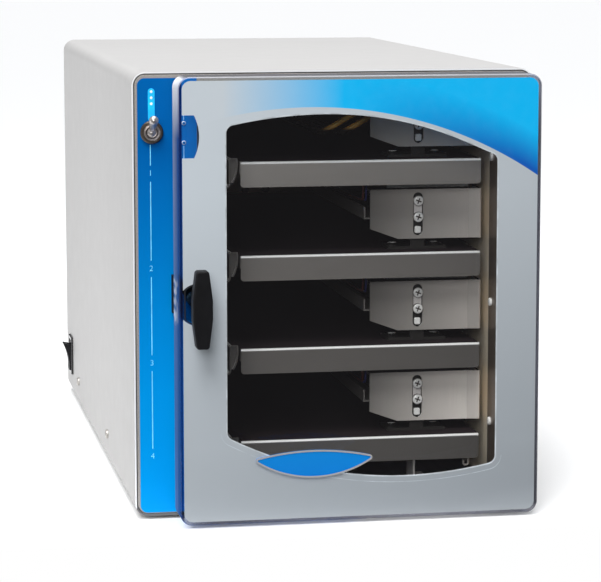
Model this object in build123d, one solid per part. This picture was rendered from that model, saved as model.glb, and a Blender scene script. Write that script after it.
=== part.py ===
from build123d import *
import os

# Benchtop tray freeze dryer: a painted cabinet round a stainless vacuum chamber with four heated
# shelves, closed by a thick clear acrylic door hinged on the right.
# Millimetres, +Z up, +X to the right seen from the front. The front faces -Y. The origin is the
# centre of the cabinet's footprint on the surface that it stands on.

# ---- cabinet ------------------------------------------------------------------------------------
width = 305.0
depth = 568.0
height = 334.0
corner_r = 10.0
sheet = 1.5
foot_height = 2.5
foot_r = 9.0
foot_inset = 40.0
base_return = 52.0
fit_gap = 0.2
pan_flange = 34.0
frame_t = 6.0
seam = 0.5
plate_chamfer = 0.4
rear_inset = 6.0

front = -depth / 2
rear = depth / 2
left = -width / 2
right = width / 2
base = foot_height
middle_z = base + height / 2

# ---- chamber ------------------------------------------------------------------------------------
chamber_in_left = 56.5
chamber_in_right = 22.5
chamber_in_low = 10.0
chamber_in_high = 16.0
chamber_in_rear = 63.0
chamber_wall = 2.0
chamber_flange = 6.0
chamber_r = 6.0
liner_depth = 36.0
liner_t = 1.2
liner_set_back = 1.0

chamber_left = left + chamber_in_left
chamber_right = right - chamber_in_right
chamber_x = (chamber_left + chamber_right) / 2
chamber_z = base + chamber_in_low
chamber_top = base + height - chamber_in_high
chamber_back = rear - chamber_in_rear
liner_low = chamber_z + chamber_r
liner_top = chamber_top - chamber_r
liner_screw_z = (liner_low + 42.3, (liner_low + liner_top) / 2 - 12.0, liner_top - 47.4)

# ---- gasket, hinge barrels and door -------------------------------------------------------------
knuckle_r = 3.0
knuckle_clear = 0.2
gasket_w = 8.0
gasket_clear = 0.3
door_t = 32.0
door_in_left = 29.3
door_in_right = 3.4
door_short = 2.0
door_r = 9.0
door_chamfer = 0.8
print_t = 0.4
print_margin = 2.8
print_r = 6.5

door_gap = 2 * (knuckle_r + knuckle_clear)
door_back = front - door_gap
door_front = door_back - door_t
door_left = left + door_in_left
door_right = right - door_in_right
door_x = (door_left + door_right) / 2
door_top = base + height - door_short

# the clear window in the door print, between two bowed edges
window_in_left = 35.2
window_in_right = 33.6
window_in_low = 32.5
window_in_high = 28.0
window_crest = -26.8
window_trough = 32.2
window_high_r = (335.0, 264.0)
window_low_r = (282.0, 312.0)
window_straight = 24.2
window_corner = 6.0

window_left = door_left + window_in_left
window_right = door_right - window_in_right
window_low = base + window_in_low
window_high = door_top - window_in_high

badge_w = 94.0
badge_rise = 6.0
badge_drop = 15.0
badge_tip = 2.1
badge_rim = 1.3
badge_sink = 0.4
badge_t = 1.4
badge_x = door_x - 35.8
badge_z = base + 48.4

# ---- front label --------------------------------------------------------------------------------
label_t = 0.4
label_left = 4.0
label_low = 2.8
label_high = 4.6
label_r = 5.5
lamp_x = door_left + 9.2
lamp_z = (base + height - 38.0, base + height - 52.5)
lamp_r = 1.6
lamp_proud = 1.0
lamp_body = 9.0
lamp_window_r = 34.0
lamp_window_depth = 12.6

# ---- latch --------------------------------------------------------------------------------------
latch_x = door_left + 14.4
latch_z = (base + door_top) / 2 - 0.5
latch_ring_r = 15.8
latch_bay_over = 5.0
knob_length = 57.4
knob_waist = 14.8
knob_end = 9.4
knob_t = 10.0
knob_low = 1.2
knob_standoff = 13.0
knob_round = 2.4
knob_waist_round = 14.0
shaft_r = 3.2
running = 0.08
bush_r = 5.0
bush_proud = 3.0
cam_t = 2.0
cam_hub_r = 4.8
cam_spacer = 1.2
cam_high = 12.2
cam_lean = 7.6
cam_back = 3.6
keeper_h = 28.2
keeper_z = latch_z + 3.7
keeper_t = 1.0
keeper_lip = 6.0
keeper_foot = 5.0
keeper_x = door_left - 0.9

# ---- hinges -------------------------------------------------------------------------------------
hinge_length = 30.0
hinge_z = (door_top - 38.0, base + 41.0)
hinge_pin_r = 1.5
hinge_clear = 0.3
leaf_t = 1.4
leaf_w = 8.0
hinge_x = door_right + knuckle_r + knuckle_clear
hinge_y = front - door_gap / 2
knuckle_share = 0.34

# ---- stoppering valve toggle --------------------------------------------------------------------
toggle_x = left + 14.5
toggle_z = base + height - 44.4
toggle_tilt = 36.0
toggle_length = 20.0
toggle_tip_r = 3.5
toggle_neck_r = 1.7
toggle_ball_r = 4.2
toggle_pivot_out = 2.0
bushing_r = 6.0
bushing_out = 4.6
nut_r = 8.5
nut_t = 3.4
valve_w = 19.0
valve_h = 26.0
valve_depth = 34.0

# ---- power switch -------------------------------------------------------------------------------
switch_y = rear - 48.0
switch_z = base + 40.0
switch_w = 25.0
switch_h = 35.0
switch_bezel = 2.0
switch_body = 24.0
rocker_w = 16.0
rocker_h = 27.0
rocker_tilt = 12.0
rocker_reach = 5.4
rocker_play = 1.2
rocker_pivot_in = 2.0
rocker_bottom = 10.0

# ---- shelves ------------------------------------------------------------------------------------
shelf_count = 4
shelf_gap_left = 28.35
shelf_gap_right = 11.15
shelf_gap_front = 25.0
shelf_gap_rear = 5.0
shelf_gap_floor = 39.7
shelf_gap_roof = 53.9
shelf_lip = 19.4
shelf_flange = 10.0
shelf_t = 1.5
shelf_bend = 2.0
lip_corner = 2.5
heater_t = 2.5
heater_margin = 14.0

shelf_left = chamber_left + shelf_gap_left
shelf_right = chamber_right - shelf_gap_right
shelf_front = front + shelf_gap_front
shelf_rear = chamber_back - shelf_gap_rear
shelf_low = chamber_z + shelf_gap_floor
shelf_pitch = (chamber_top - shelf_gap_roof - shelf_low) / (shelf_count - 1)
shelf_tops = [shelf_low + shelf_pitch * (shelf_count - 1 - n) for n in range(shelf_count)]

# ---- spacing brackets and uprights --------------------------------------------------------------
bracket_t = 2.0
bracket_set_back = 19.0
bracket_w = 87.8
bracket_over = 5.2
bracket_gap = 9.7
bracket_chamfer_w = 22.0
bracket_chamfer_h = 8.0
bracket_flange = 22.0
bracket_h = 38.4
bracket_ledge = 16.0
bracket_hook = 14.0
bracket_kink = 10.0
bracket_lean = 2.0
bracket_bend = 1.5
riser_trim = 16.0
slot_w = 7.6
slot_h = 33.2
slot_lift = 2.6
upright_w = 11.0
upright_t = 2.0
upright_in = 37.75
upright_over = 0.4
foot_w = 46.0
foot_d = 27.0
foot_screw_back = 17.0
foot_screw_span = 33.2
foot_screw_tail = 2.0
link_screw_r = 2.0
link_head_r = 4.1
link_head_t = 2.8
cross_turn = 20.0
link_low = 14.3
link_pitch = 12.5
key_t = 1.6
key_over = 3.4
guide_w = 4.8
guide_h = 5.4
guide_lift = 1.6
key_in = 0.7
stud_r = 3.0

bracket_front = shelf_front + bracket_set_back
bracket_right = shelf_right + bracket_over
bracket_left = bracket_right - bracket_w
bracket_drop = shelf_pitch - bracket_gap
upright_x = bracket_left + upright_in
upright_front = bracket_front + bracket_t
riser_left = bracket_left + riser_trim
riser_right = shelf_right - shelf_t - fit_gap

# ---- rails --------------------------------------------------------------------------------------
rail_t = 1.2
left_rail_x = shelf_left - 8.5
right_rail_x = shelf_right + 5.2
rail_over = 2.7
rail_lip = 6.6
rail_nose = 19.0
rail_curl = 70.0
cap_in = 1.5
rail_drop = 19.0
rail_leg = 8.0
left_rail_front = shelf_front + 3.0
right_rail_front = shelf_front + 62.0

# ---- rear and inside ----------------------------------------------------------------------------
port_r = 20.5
port_wall = 1.5
port_flange_r = 27.5
port_flange_t = 5.0
port_out = 26.0
port_x = chamber_x
port_z = base + 168.0
inlet_x = left + 47.5
inlet_z = base + 45.0
inlet_w = 48.0
inlet_h = 28.0
inlet_body_w = 27.5
inlet_body_h = 20.0
inlet_body_d = 26.0
board_w = 150.0
board_h = 110.0
board_t = 1.6
board_standoff = 10.0
board_y = front + 150.0
board_z = base + 190.0
supply_w = 36.0
supply_l = 150.0
supply_h = 62.0
supply_y = rear - supply_l - 88.0
screw_r = 2.0
screw_head_r = 3.7
screw_head_t = 2.2
side_screw_z = base + 25.6
case_screw_length = 7.0
side_screw_y = (front + 196.0, rear - 118.0)
wall_seam_z = chamber_top - 127.5
wall_seam_h = 1.2
wall_seam_deep = 0.8
wall_bolt_x = (chamber_x - 5.8, chamber_x + 13.9)
wall_bolt_z = (wall_seam_z - 6.0, wall_seam_z + 4.6, chamber_top - 62.2)
hook_drop = 28.0
hook_turn = 4.0
hook_wire = 0.8
hook_x = shelf_right - shelf_t - hook_wire - fit_gap
channel_out = 4.6
channel_w = 16.0
channel_h = 9.4
channel_t = 1.2
channel_lift = 15.6
channel_short = 20.0
stay_x = upright_x - 2.4
stay_t = 1.4
stay_depth = 24.0
stay_foot = 12.0
hose_r = 2.2
hose_x = bracket_left + 12.0
hose_y = 80.0
hose_gap = 17.0
hose_stub = 12.0
hose_drop = 25.0
hose_run = 43.0
hose_bend = 9.0


def block(x, y, z):
    """A box between two limits on each axis."""
    size = (x[1] - x[0], y[1] - y[0], z[1] - z[0])
    centre = ((x[0] + x[1]) / 2, (y[0] + y[1]) / 2, (z[0] + z[1]) / 2)
    return Pos(*centre) * Box(*size)


def upright_face(x=0.0, y=0.0, z=0.0):
    """A sketch plane facing the front: its X is the row's X and its Y is the row's Z."""
    return Plane(origin=(x, y, z), x_dir=(1, 0, 0), z_dir=(0, -1, 0))


def slab(sketch, y_near, y_far):
    """A front-facing sketch, drawn in X and Z, as a plate between two depths."""
    return extrude(upright_face(y=y_far) * sketch, amount=y_far - y_near)


def rounded(x, z, radius):
    """A rounded rectangle between two limits in X and Z."""
    centre = ((x[0] + x[1]) / 2, (z[0] + z[1]) / 2)
    return Pos(*centre) * RectangleRounded(x[1] - x[0], z[1] - z[0], radius)


def rod_y(x, z, y_near, y_far, radius):
    """A round rod along Y."""
    return Pos(x, (y_near + y_far) / 2, z) * Rot(X=90) * Cylinder(radius, y_far - y_near)


def rod_x(y, z, x_low, x_high, radius):
    """A round rod along X."""
    return Pos((x_low + x_high) / 2, y, z) * Rot(Y=90) * Cylinder(radius, x_high - x_low)


def rod_z(x, y, z_low, z_high, radius):
    """A round rod along Z."""
    return Pos(x, y, (z_low + z_high) / 2) * Cylinder(radius, z_high - z_low)


def folded(points, thickness, bend, side=Side.LEFT):
    """The section of a folded sheet, from the line of one face and the bend radius of that face."""
    line = FilletPolyline(*points, radius=bend) if len(points) > 2 else Polyline(*points)
    return make_face(offset(line, amount=thickness, side=side))


def along_y(section, y_near, y_far):
    """A section drawn in X and Z, extruded from one depth to another."""
    return slab(section, y_near, y_far)


def along_x(section, x_low, x_high):
    """A section drawn in Y and Z, extruded from one side to the other."""
    plane = Plane(origin=(x_low, 0, 0), x_dir=(0, 1, 0), z_dir=(1, 0, 0))
    return extrude(plane * section, amount=x_high - x_low)


# ---- cabinet ------------------------------------------------------------------------------------
def outline(inset=0.0):
    """The cabinet's rounded outline, drawn in X and Z and set in by a distance."""
    return Pos(0, middle_z) * RectangleRounded(width - 2 * inset, height - 2 * inset, corner_r - inset)


def switch_opening():
    """The cut-out that the power switch snaps into."""
    body_w = switch_w - 2 * switch_bezel
    body_h = switch_h - 2 * switch_bezel
    y = (switch_y - body_w / 2 - fit_gap, switch_y + body_w / 2 + fit_gap)
    z = (switch_z - body_h / 2 - fit_gap, switch_z + body_h / 2 + fit_gap)
    return block((left - sheet, left + 2 * sheet), y, z)


def side_screw_holes():
    return [rod_x(y, side_screw_z, left - sheet, right + sheet, screw_r) for y in side_screw_y]


def wrapper():
    """One sheet folded round the sides, with its lower edges turned in under the cabinet."""
    ring = outline() - outline(sheet)
    mouth = Pos(0, base) * Rectangle(width - 2 * base_return, 4 * sheet)
    skin = along_y(ring - mouth, front, rear)
    return skin - switch_opening() - side_screw_holes()


def base_pan():
    """A folded pan that lies on the turned-in edges and takes the side screws."""
    inset = sheet + fit_gap
    ring = outline(inset) - outline(inset + sheet)
    above = base + inset + pan_flange
    keep = block((left, right), (front, rear), (base, above))
    pan = along_y(ring, front + frame_t + fit_gap, rear - rear_inset - sheet - fit_gap) & keep
    return pan - side_screw_holes() - switch_relief()


def switch_relief():
    """Room in the pan's flange for the body of the power switch."""
    y = (switch_y - switch_w / 2, rear)
    return block((left, left + 4 * sheet), y, (base + corner_r, base + 2 * pan_flange))


def feet():
    """Four low rubber bumpers under the turned-in edges."""
    x = width / 2 - foot_inset
    y = depth / 2 - foot_inset
    bumper = extrude(Circle(foot_r - 1), amount=foot_height, taper=-18)
    return [Pos(sx * x, sy * y, 0) * bumper for sx in (-1, 1) for sy in (-1, 1)]


def chamber_opening(grow=0.0):
    x = (chamber_left - grow, chamber_right + grow)
    z = (chamber_z - grow, chamber_top + grow)
    return rounded(x, z, chamber_r + max(grow, 0))


def front_frame():
    """The thick front plate inside the wrapper's mouth, open for the chamber, valve and lamps."""
    plate = slab(outline(sheet + seam), front, front + frame_t)
    plate = chamfer(plate.faces().sort_by(Axis.Y)[0].edges(), plate_chamfer)
    plate -= slab(chamber_opening(), front - 1, front + frame_t + 1)
    plate -= rod_y(toggle_x, toggle_z, front - 1, front + frame_t + 1, bushing_r + fit_gap)
    for z in lamp_z:
        plate -= rod_y(lamp_x, z, front - 1, front + frame_t + 1, lamp_r)
    return plate


def front_label():
    """The coloured overlay down the left of the front plate."""
    x = (left + label_left, chamber_left - gasket_w - fit_gap)
    z = (base + label_low, base + height - label_high)
    face = rounded(x, z, label_r) + Pos((x[0] + 3 * x[1]) / 4, sum(z) / 2) * Rectangle(
        (x[1] - x[0]) / 2, z[1] - z[0]
    )
    film = slab(face, front - label_t, front)
    film -= rod_y(toggle_x, toggle_z, front - 1, front + 1, bushing_r + fit_gap)
    for lamp in lamp_z:
        film -= rod_y(lamp_x, lamp, front - 1, front + 1, lamp_r)
    return film


def chamber():
    """The welded vacuum chamber: an open-fronted box with a flange behind the front plate."""
    flange_y = front + frame_t
    box = slab(chamber_opening(chamber_wall), flange_y, chamber_back + chamber_wall)
    flange = slab(chamber_opening(chamber_flange), flange_y, flange_y + chamber_wall)
    hollow = slab(chamber_opening(), front - 1, chamber_back)
    port = rod_y(port_x, port_z, chamber_back - 1, chamber_back + 2 * chamber_wall, port_r)
    seam_z = (wall_seam_z - wall_seam_h / 2, wall_seam_z + wall_seam_h / 2)
    seam_y = (chamber_back - 1, chamber_back + wall_seam_deep)
    seam_line = block((chamber_left, chamber_right), seam_y, seam_z)
    return box + flange - hollow - port - seam_line


def rear_panel():
    """The flat panel that closes the back, holed for the port and the power inlet."""
    y = rear - rear_inset - sheet
    plate = slab(outline(sheet + fit_gap), y, y + sheet)
    plate -= rod_y(port_x, port_z, y - 1, rear, port_r + port_wall + fit_gap)
    x = (inlet_x - inlet_body_w / 2 - fit_gap, inlet_x + inlet_body_w / 2 + fit_gap)
    z = (inlet_z - inlet_body_h / 2 - fit_gap, inlet_z + inlet_body_h / 2 + fit_gap)
    return plate - block(x, (y - 1, rear), z)


def vacuum_port():
    """A stub tube from the chamber's back with a taper-clamp flange outside the cabinet."""
    outer = port_r + port_wall
    start = chamber_back + chamber_wall
    end = rear + port_out
    face = end - port_flange_t
    profile = Polyline(
        (port_r, start),
        (port_flange_r, start),
        (port_flange_r, start + chamber_wall),
        (outer, start + chamber_wall),
        (outer, face),
        (port_flange_r, face + 2),
        (port_flange_r, end),
        (port_r, end),
        close=True,
    )
    tube = revolve(make_face(profile), axis=Axis.Y)
    return Pos(port_x, 0, port_z) * tube


def power_inlet():
    """A three-pin appliance inlet snapped into the rear panel."""
    y = rear - rear_inset
    plate = slab(rounded((inlet_x - inlet_w / 2, inlet_x + inlet_w / 2),
                         (inlet_z - inlet_h / 2, inlet_z + inlet_h / 2), 4), y, y + 2)
    body = block((inlet_x - inlet_body_w / 2, inlet_x + inlet_body_w / 2),
                 (y - inlet_body_d, y), (inlet_z - inlet_body_h / 2, inlet_z + inlet_body_h / 2))
    mouth = block((inlet_x - inlet_body_w / 2 + 1.5, inlet_x + inlet_body_w / 2 - 1.5),
                  (y - inlet_body_d + 6, y + 3),
                  (inlet_z - inlet_body_h / 2 + 1.5, inlet_z + inlet_body_h / 2 - 1.5))
    inlet = plate + body - mouth
    for dx, dz in ((-7, -1), (0, 3), (7, -1)):
        inlet += block((inlet_x + dx - 1, inlet_x + dx + 1), (y - inlet_body_d + 5, y - 4),
                       (inlet_z + dz - 2, inlet_z + dz + 2))
    return inlet


def control_board():
    """The printed board on its standoffs against the chamber's left wall."""
    x = chamber_left - chamber_wall
    board = block((x - board_standoff - board_t, x - board_standoff),
                  (board_y, board_y + board_w), (board_z - board_h / 2, board_z + board_h / 2))
    for dy in (8, board_w - 8):
        for dz in (8 - board_h / 2, board_h / 2 - 8):
            board += rod_x(board_y + dy, board_z + dz, x - board_standoff, x, 3)
    return board


def power_supply():
    """The closed power supply on the base pan, left of the chamber."""
    x = left + corner_r + 2 * sheet
    z = base + 2 * sheet + fit_gap
    body = block((x, x + supply_w), (supply_y, supply_y + supply_l), (z, z + supply_h))
    return fillet(body.edges().filter_by(Axis.Y), 2)


# ---- gasket, door and hinges --------------------------------------------------------------------
def door_gasket():
    """The rubber seal round the chamber's mouth, rounded where the door presses on it."""
    ring = slab(chamber_opening(gasket_w) - chamber_opening(), door_back + gasket_clear, front)
    return fillet(ring.faces().sort_by(Axis.Y)[0].edges(), gasket_w / 4)


def door_slab():
    """The clear acrylic door, with its polished edges and the bore of the latch bushing."""
    x = (door_left, door_right)
    plate = slab(rounded(x, (base, door_top), door_r), door_front, door_back)
    rims = plate.faces().sort_by(Axis.Y)[0].edges() + plate.faces().sort_by(Axis.Y)[-1].edges()
    plate = chamfer(rims, door_chamfer)
    return plate - rod_y(latch_x, latch_z, door_front - 1, door_back + 1, bush_r)


def bow(radius, run):
    """How far a circle falls away from its tangent over a run."""
    return radius - (radius**2 - run**2) ** 0.5


def window():
    """The clear window: arcs meet at its highest and lowest points; the upper right is straight."""
    window_high_x = door_x + window_crest
    window_low_x = door_x + window_trough
    high = Vector(window_high_x, window_high)
    low = Vector(window_low_x, window_low)
    high_left = Vector(window_left, window_high - bow(window_high_r[0], window_left - window_high_x))
    low_left = Vector(window_left, window_low + bow(window_low_r[0], window_left - window_low_x))
    low_right = Vector(window_right, window_low + bow(window_low_r[1], window_right - window_low_x))
    run = window_right - window_straight - window_high_x
    drop = bow(window_high_r[1], run)
    bend = high + Vector(run, -drop)
    fall = window_straight * run / (window_high_r[1] - drop)
    high_right = Vector(window_right, bend.Y - fall)
    line = TangentArc(high, high_left, tangent=(-1, 0)) + TangentArc(high, bend, tangent=(1, 0))
    line += Line(bend, high_right) + Line(high_right, low_right)
    line += TangentArc(low, low_right, tangent=(1, 0)) + TangentArc(low, low_left, tangent=(-1, 0))
    line += Line(low_left, high_left)
    corners = (high_left, high_right, low_left, low_right)
    face = make_face(line)
    sharp = [v for v in face.vertices() if min((Vector(*v) - c).length for c in corners) < 0.1]
    return fillet(sharp, window_corner)


def lamp_window():
    """The bay in the print's left edge that shows the two lamps: a shallow bow."""
    span = (lamp_z[0] - lamp_z[1]) / 2 + 8.4
    middle = (lamp_z[0] + lamp_z[1]) / 2
    left_edge = door_left + print_margin
    strip = Pos(left_edge, middle) * Rectangle(2 * lamp_window_depth, 2 * span)
    bow = Pos(left_edge + lamp_window_depth - lamp_window_r, middle) * Circle(lamp_window_r)
    return strip & bow


def latch_window():
    """The round bay in the print's left edge that shows the latch's cam."""
    side = latch_x + latch_bay_over - door_left
    strip = Pos(door_left + side / 2, latch_z) * Rectangle(side, 2 * latch_ring_r)
    return strip & Pos(latch_x, latch_z) * Circle(latch_ring_r)


def door_print():
    """The printed film on the door's face, cleared for the window, the lamps and the latch."""
    x = (door_left + print_margin, door_right - print_margin)
    z = (base + print_margin, door_top - print_margin)
    face = rounded(x, z, print_r) - window() - lamp_window() - latch_window()
    return slab(face, door_front - print_t, door_front)


def badge():
    """A plain pointed-oval plate with a raised rim, fuller below its tips than above."""
    half = badge_w / 2
    upper = ThreePointArc((-half, 0), (0, badge_rise), (half, 0))
    lower = ThreePointArc((half, 0), (0, -badge_drop), (-half, 0))
    shape = make_face(upper + lower)
    shape = fillet(shape.vertices(), badge_tip)
    y = door_front - print_t
    place = Pos(badge_x, badge_z)
    plate = slab(place * shape, y - badge_t, y)
    field = slab(place * offset(shape, amount=-badge_rim), y - badge_t, y - badge_t + badge_sink)
    return plate - field


def knuckle(z, low, high):
    """One barrel of a hinge, bored for its pin."""
    barrel = rod_z(hinge_x, hinge_y, z + low, z + high, knuckle_r)
    return barrel - rod_z(hinge_x, hinge_y, z + low - 1, z + high + 1, hinge_pin_r + running)


def fixed_leaf(z):
    """The leaf screwed to the front plate, with the outer two knuckles."""
    half = hinge_length / 2
    inner = hinge_length * knuckle_share / 2 + hinge_clear
    x = (hinge_x - knuckle_r - leaf_w, hinge_x)
    leaf = block(x, (front - leaf_t, front), (z - half, z + half))
    gap_x = (hinge_x - knuckle_r - hinge_clear, hinge_x)
    leaf -= block(gap_x, (front - door_gap, front), (z - inner, z + inner))
    leaf -= rod_z(hinge_x, hinge_y, z - half - 1, z + half + 1, knuckle_r - 0.5)
    return leaf + knuckle(z, -half, -inner) + knuckle(z, inner, half)


def moving_leaf(z):
    """The leaf on the back of the door, with the middle knuckle."""
    half = hinge_length / 2
    inner = hinge_length * knuckle_share / 2
    x = (hinge_x - knuckle_r - leaf_w, hinge_x)
    y = (door_back, door_back + leaf_t)
    leaf = block(x, y, (z - inner, z + inner))
    leaf += block((x[0], hinge_x - knuckle_r - hinge_clear), y, (z - half, z + half))
    leaf -= rod_z(hinge_x, hinge_y, z - inner - 1, z + inner + 1, knuckle_r - 0.5)
    return leaf + knuckle(z, -inner, inner)


def hinge_pin(z):
    """The hinge pin with a small domed head at its top."""
    half = hinge_length / 2
    pin = rod_z(hinge_x, hinge_y, z - half, z + half, hinge_pin_r)
    return pin + rod_z(hinge_x, hinge_y, z + half, z + half + 1, knuckle_r - 0.4)


# ---- latch --------------------------------------------------------------------------------------
def latch_knob():
    """A wing knob: a long bar, widest at its middle, on a round hub."""
    half = knob_length / 2
    back = door_front - knob_standoff
    shape = make_face(Polyline(
        (-knob_end / 2, -half), (-knob_waist / 2, -half / 4), (-knob_waist / 2, half / 4),
        (-knob_end / 2, half), (knob_end / 2, half), (knob_waist / 2, half / 4),
        (knob_waist / 2, -half / 4), (knob_end / 2, -half), close=True))
    shape = fillet([v for v in shape.vertices() if abs(v.Y) < half / 2], knob_waist_round)
    shape = fillet([v for v in shape.vertices() if abs(v.Y) > half - 1], knob_round)
    wing = slab(Pos(latch_x, latch_z - knob_low) * shape, back - knob_t, back)
    wing = fillet(wing.faces().sort_by(Axis.Y)[0].edges(), 1.4)
    hub = rod_y(latch_x, latch_z, back, door_front - bush_proud - gasket_clear, bush_r)
    return wing + hub - rod_y(latch_x, latch_z, back - knob_t / 2, door_front, shaft_r)


def latch_shaft():
    """The spindle from the knob through the door to the cam, with a head that holds the cam."""
    start = door_front - knob_standoff - knob_t / 2
    cam_back = door_back + gasket_clear + cam_spacer + cam_t
    shaft = rod_y(latch_x, latch_z, start, cam_back, shaft_r)
    return shaft + rod_y(latch_x, latch_z, cam_back, cam_back + 1, cam_hub_r)


def latch_bushing():
    """The black bush in the door's bore, flush behind the door and proud in front of it."""
    bush = rod_y(latch_x, latch_z, door_front - bush_proud, door_back, bush_r)
    return bush - rod_y(latch_x, latch_z, door_front - 2 * bush_proud, door_back + 2, shaft_r + running)


def latch_cam():
    """The flat cam behind the door; its finger points up when the door is free to open."""
    y = door_back + gasket_clear + cam_spacer
    finger = make_face(Polyline((-cam_lean, cam_high - 8), (-cam_lean, cam_high), (cam_back, cam_high),
                                (cam_back, 0), (-cam_back, 0), close=True))
    cam = slab(Pos(latch_x, latch_z) * (fillet(finger.vertices(), 1) + Circle(cam_hub_r)), y, y + cam_t)
    cam += rod_y(latch_x, latch_z, y - cam_spacer, y, cam_hub_r)
    return cam - rod_y(latch_x, latch_z, door_back, door_back + door_gap, shaft_r)


def latch_keeper():
    """A folded steel catch on the front plate; the cam's finger turns in behind its lip."""
    lip_y = door_back + 0.2
    low, high = keeper_z - keeper_h / 2, keeper_z + keeper_h / 2
    face = front - label_t
    post = block((keeper_x, keeper_x + keeper_t), (lip_y, face), (low, high))
    lip = block((keeper_x, keeper_x + keeper_lip), (lip_y, lip_y + keeper_t), (low, high))
    foot = block((keeper_x, keeper_x + keeper_foot), (face - keeper_t, face), (low, high))
    return post + lip + foot


# ---- stoppering valve ---------------------------------------------------------------------------
def toggle_pivot():
    return Vector(toggle_x, front - toggle_pivot_out, toggle_z)


def toggle_valve():
    """The valve body behind the plate and the threaded bushing that holds it there."""
    back = front + frame_t
    body = block((toggle_x - valve_w / 2, toggle_x + valve_w / 2), (back, back + valve_depth),
                 (toggle_z - valve_h / 2, toggle_z + valve_h / 2))
    bush = rod_y(toggle_x, toggle_z, front - bushing_out, back, bushing_r)
    pocket = rod_y(toggle_x, toggle_z, front - bushing_out - 1, front + 4, toggle_ball_r + 0.3)
    mouth = Pos(toggle_x, front - bushing_out + 0.6, toggle_z) * Rot(X=90) * Cone(
        toggle_ball_r + 0.3, bushing_r - 0.1, 1.3)
    return body + bush - pocket - mouth


def toggle_nut():
    """The round dress nut, flat on the label, with a fine knurl round its rim."""
    face = front - label_t
    nut = rod_y(toggle_x, toggle_z, face - nut_t, face, nut_r)
    nut = chamfer(nut.faces().sort_by(Axis.Y)[0].edges(), 0.8)
    return nut - rod_y(toggle_x, toggle_z, face - nut_t - 1, face + 1, bushing_r)


def toggle_lever():
    """A turned bat lever: ball, neck and rounded tip, tilted up."""
    profile = Polyline((0, -toggle_ball_r), (toggle_neck_r, -toggle_ball_r), (toggle_neck_r, 0),
                       (0, 0), close=True)
    taper = make_face(Polyline((0, 0), (toggle_neck_r, 0), (toggle_tip_r, toggle_length - toggle_tip_r),
                               (0, toggle_length - toggle_tip_r), close=True))
    bat = revolve(taper, axis=Axis.Y) + Sphere(toggle_ball_r)
    bat += Pos(0, toggle_length - toggle_tip_r, 0) * Sphere(toggle_tip_r)
    place = Pos(*toggle_pivot()) * Rot(X=180 - toggle_tilt)
    return place * bat


def indicator_lamps():
    """Two small domed lamps pressed into the front plate."""
    lamps = []
    for z in lamp_z:
        y = front - label_t - lamp_proud
        lens = rod_y(lamp_x, z, y, front + lamp_body, lamp_r - 0.05)
        lamps.append(fillet(lens.faces().sort_by(Axis.Y)[0].edges(), lamp_r * 0.5))
    return lamps


# ---- power switch -------------------------------------------------------------------------------
def switch_housing():
    """The switch frame snapped into the side panel, open where the rocker sits."""
    y = (switch_y - switch_w / 2, switch_y + switch_w / 2)
    z = (switch_z - switch_h / 2, switch_z + switch_h / 2)
    bezel = block((left - switch_bezel, left), y, z)
    bezel = fillet(bezel.faces().sort_by(Axis.X)[0].edges(), switch_bezel / 2)
    inner_y = (y[0] + switch_bezel, y[1] - switch_bezel)
    inner_z = (z[0] + switch_bezel, z[1] - switch_bezel)
    body = block((left, left + switch_body), inner_y, inner_z)
    well_y = (switch_y - rocker_w / 2 - 0.4, switch_y + rocker_w / 2 + 0.4)
    well_z = (switch_z - rocker_h / 2 - rocker_play, switch_z + rocker_h / 2 + rocker_play)
    well = block((left - 2 * switch_bezel, left + rocker_bottom + 3), well_y, well_z)
    return bezel + body - well


def power_rocker():
    """The rocker: two slopes that meet at a shallow valley, with its upper half proud."""
    half = rocker_h / 2
    deep = rocker_bottom - rocker_pivot_in
    side = make_face(Polyline(
        (-rocker_reach, -half), (1.6 - rocker_reach, 0), (-rocker_reach, half),
        (deep, half * 0.5), (deep, -half * 0.5), close=True))
    body = slab(side, -rocker_w / 2, rocker_w / 2)
    return Pos(left + rocker_pivot_in, switch_y, switch_z) * Rot(Y=-rocker_tilt) * body


# ---- shelves ------------------------------------------------------------------------------------
def shelf(top):
    """A folded stainless shelf: a flat top, a deep front lip and shallow flanges on the other sides."""
    drop = top - shelf_t
    section = folded([(shelf_front, top - shelf_lip), (shelf_front, top), (shelf_rear, top),
                      (shelf_rear, top - shelf_flange)], shelf_t, shelf_bend, Side.RIGHT)
    pan = along_x(section, shelf_left, shelf_right)
    lip = slab(rounded((shelf_left, shelf_right), (top - shelf_lip, top + shelf_lip), lip_corner),
               shelf_front, shelf_rear)
    pan &= lip
    low = top - shelf_flange
    for x in (shelf_left, shelf_right - shelf_t):
        pan += block((x, x + shelf_t), (shelf_front + shelf_bend + 2, shelf_rear - shelf_bend), (low, drop))
    return pan


def heater_pads():
    """The heating mats bonded under the shelves' tops, behind the spacing brackets."""
    x = (shelf_left + heater_margin, shelf_right - heater_margin)
    y = (upright_front + foot_d + heater_margin, shelf_rear - heater_margin)
    return [block(x, y, (top - shelf_t - heater_t, top - shelf_t)) for top in shelf_tops]


def bracket_plan(x_end):
    """A bracket's section from above: flat, then bent forward a little, then straight back."""
    return folded([(bracket_left, bracket_front), (x_end - bracket_kink, bracket_front),
                   (x_end, bracket_front - bracket_lean), (x_end, bracket_front + bracket_flange)],
                  bracket_t, bracket_bend, Side.LEFT)


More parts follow.
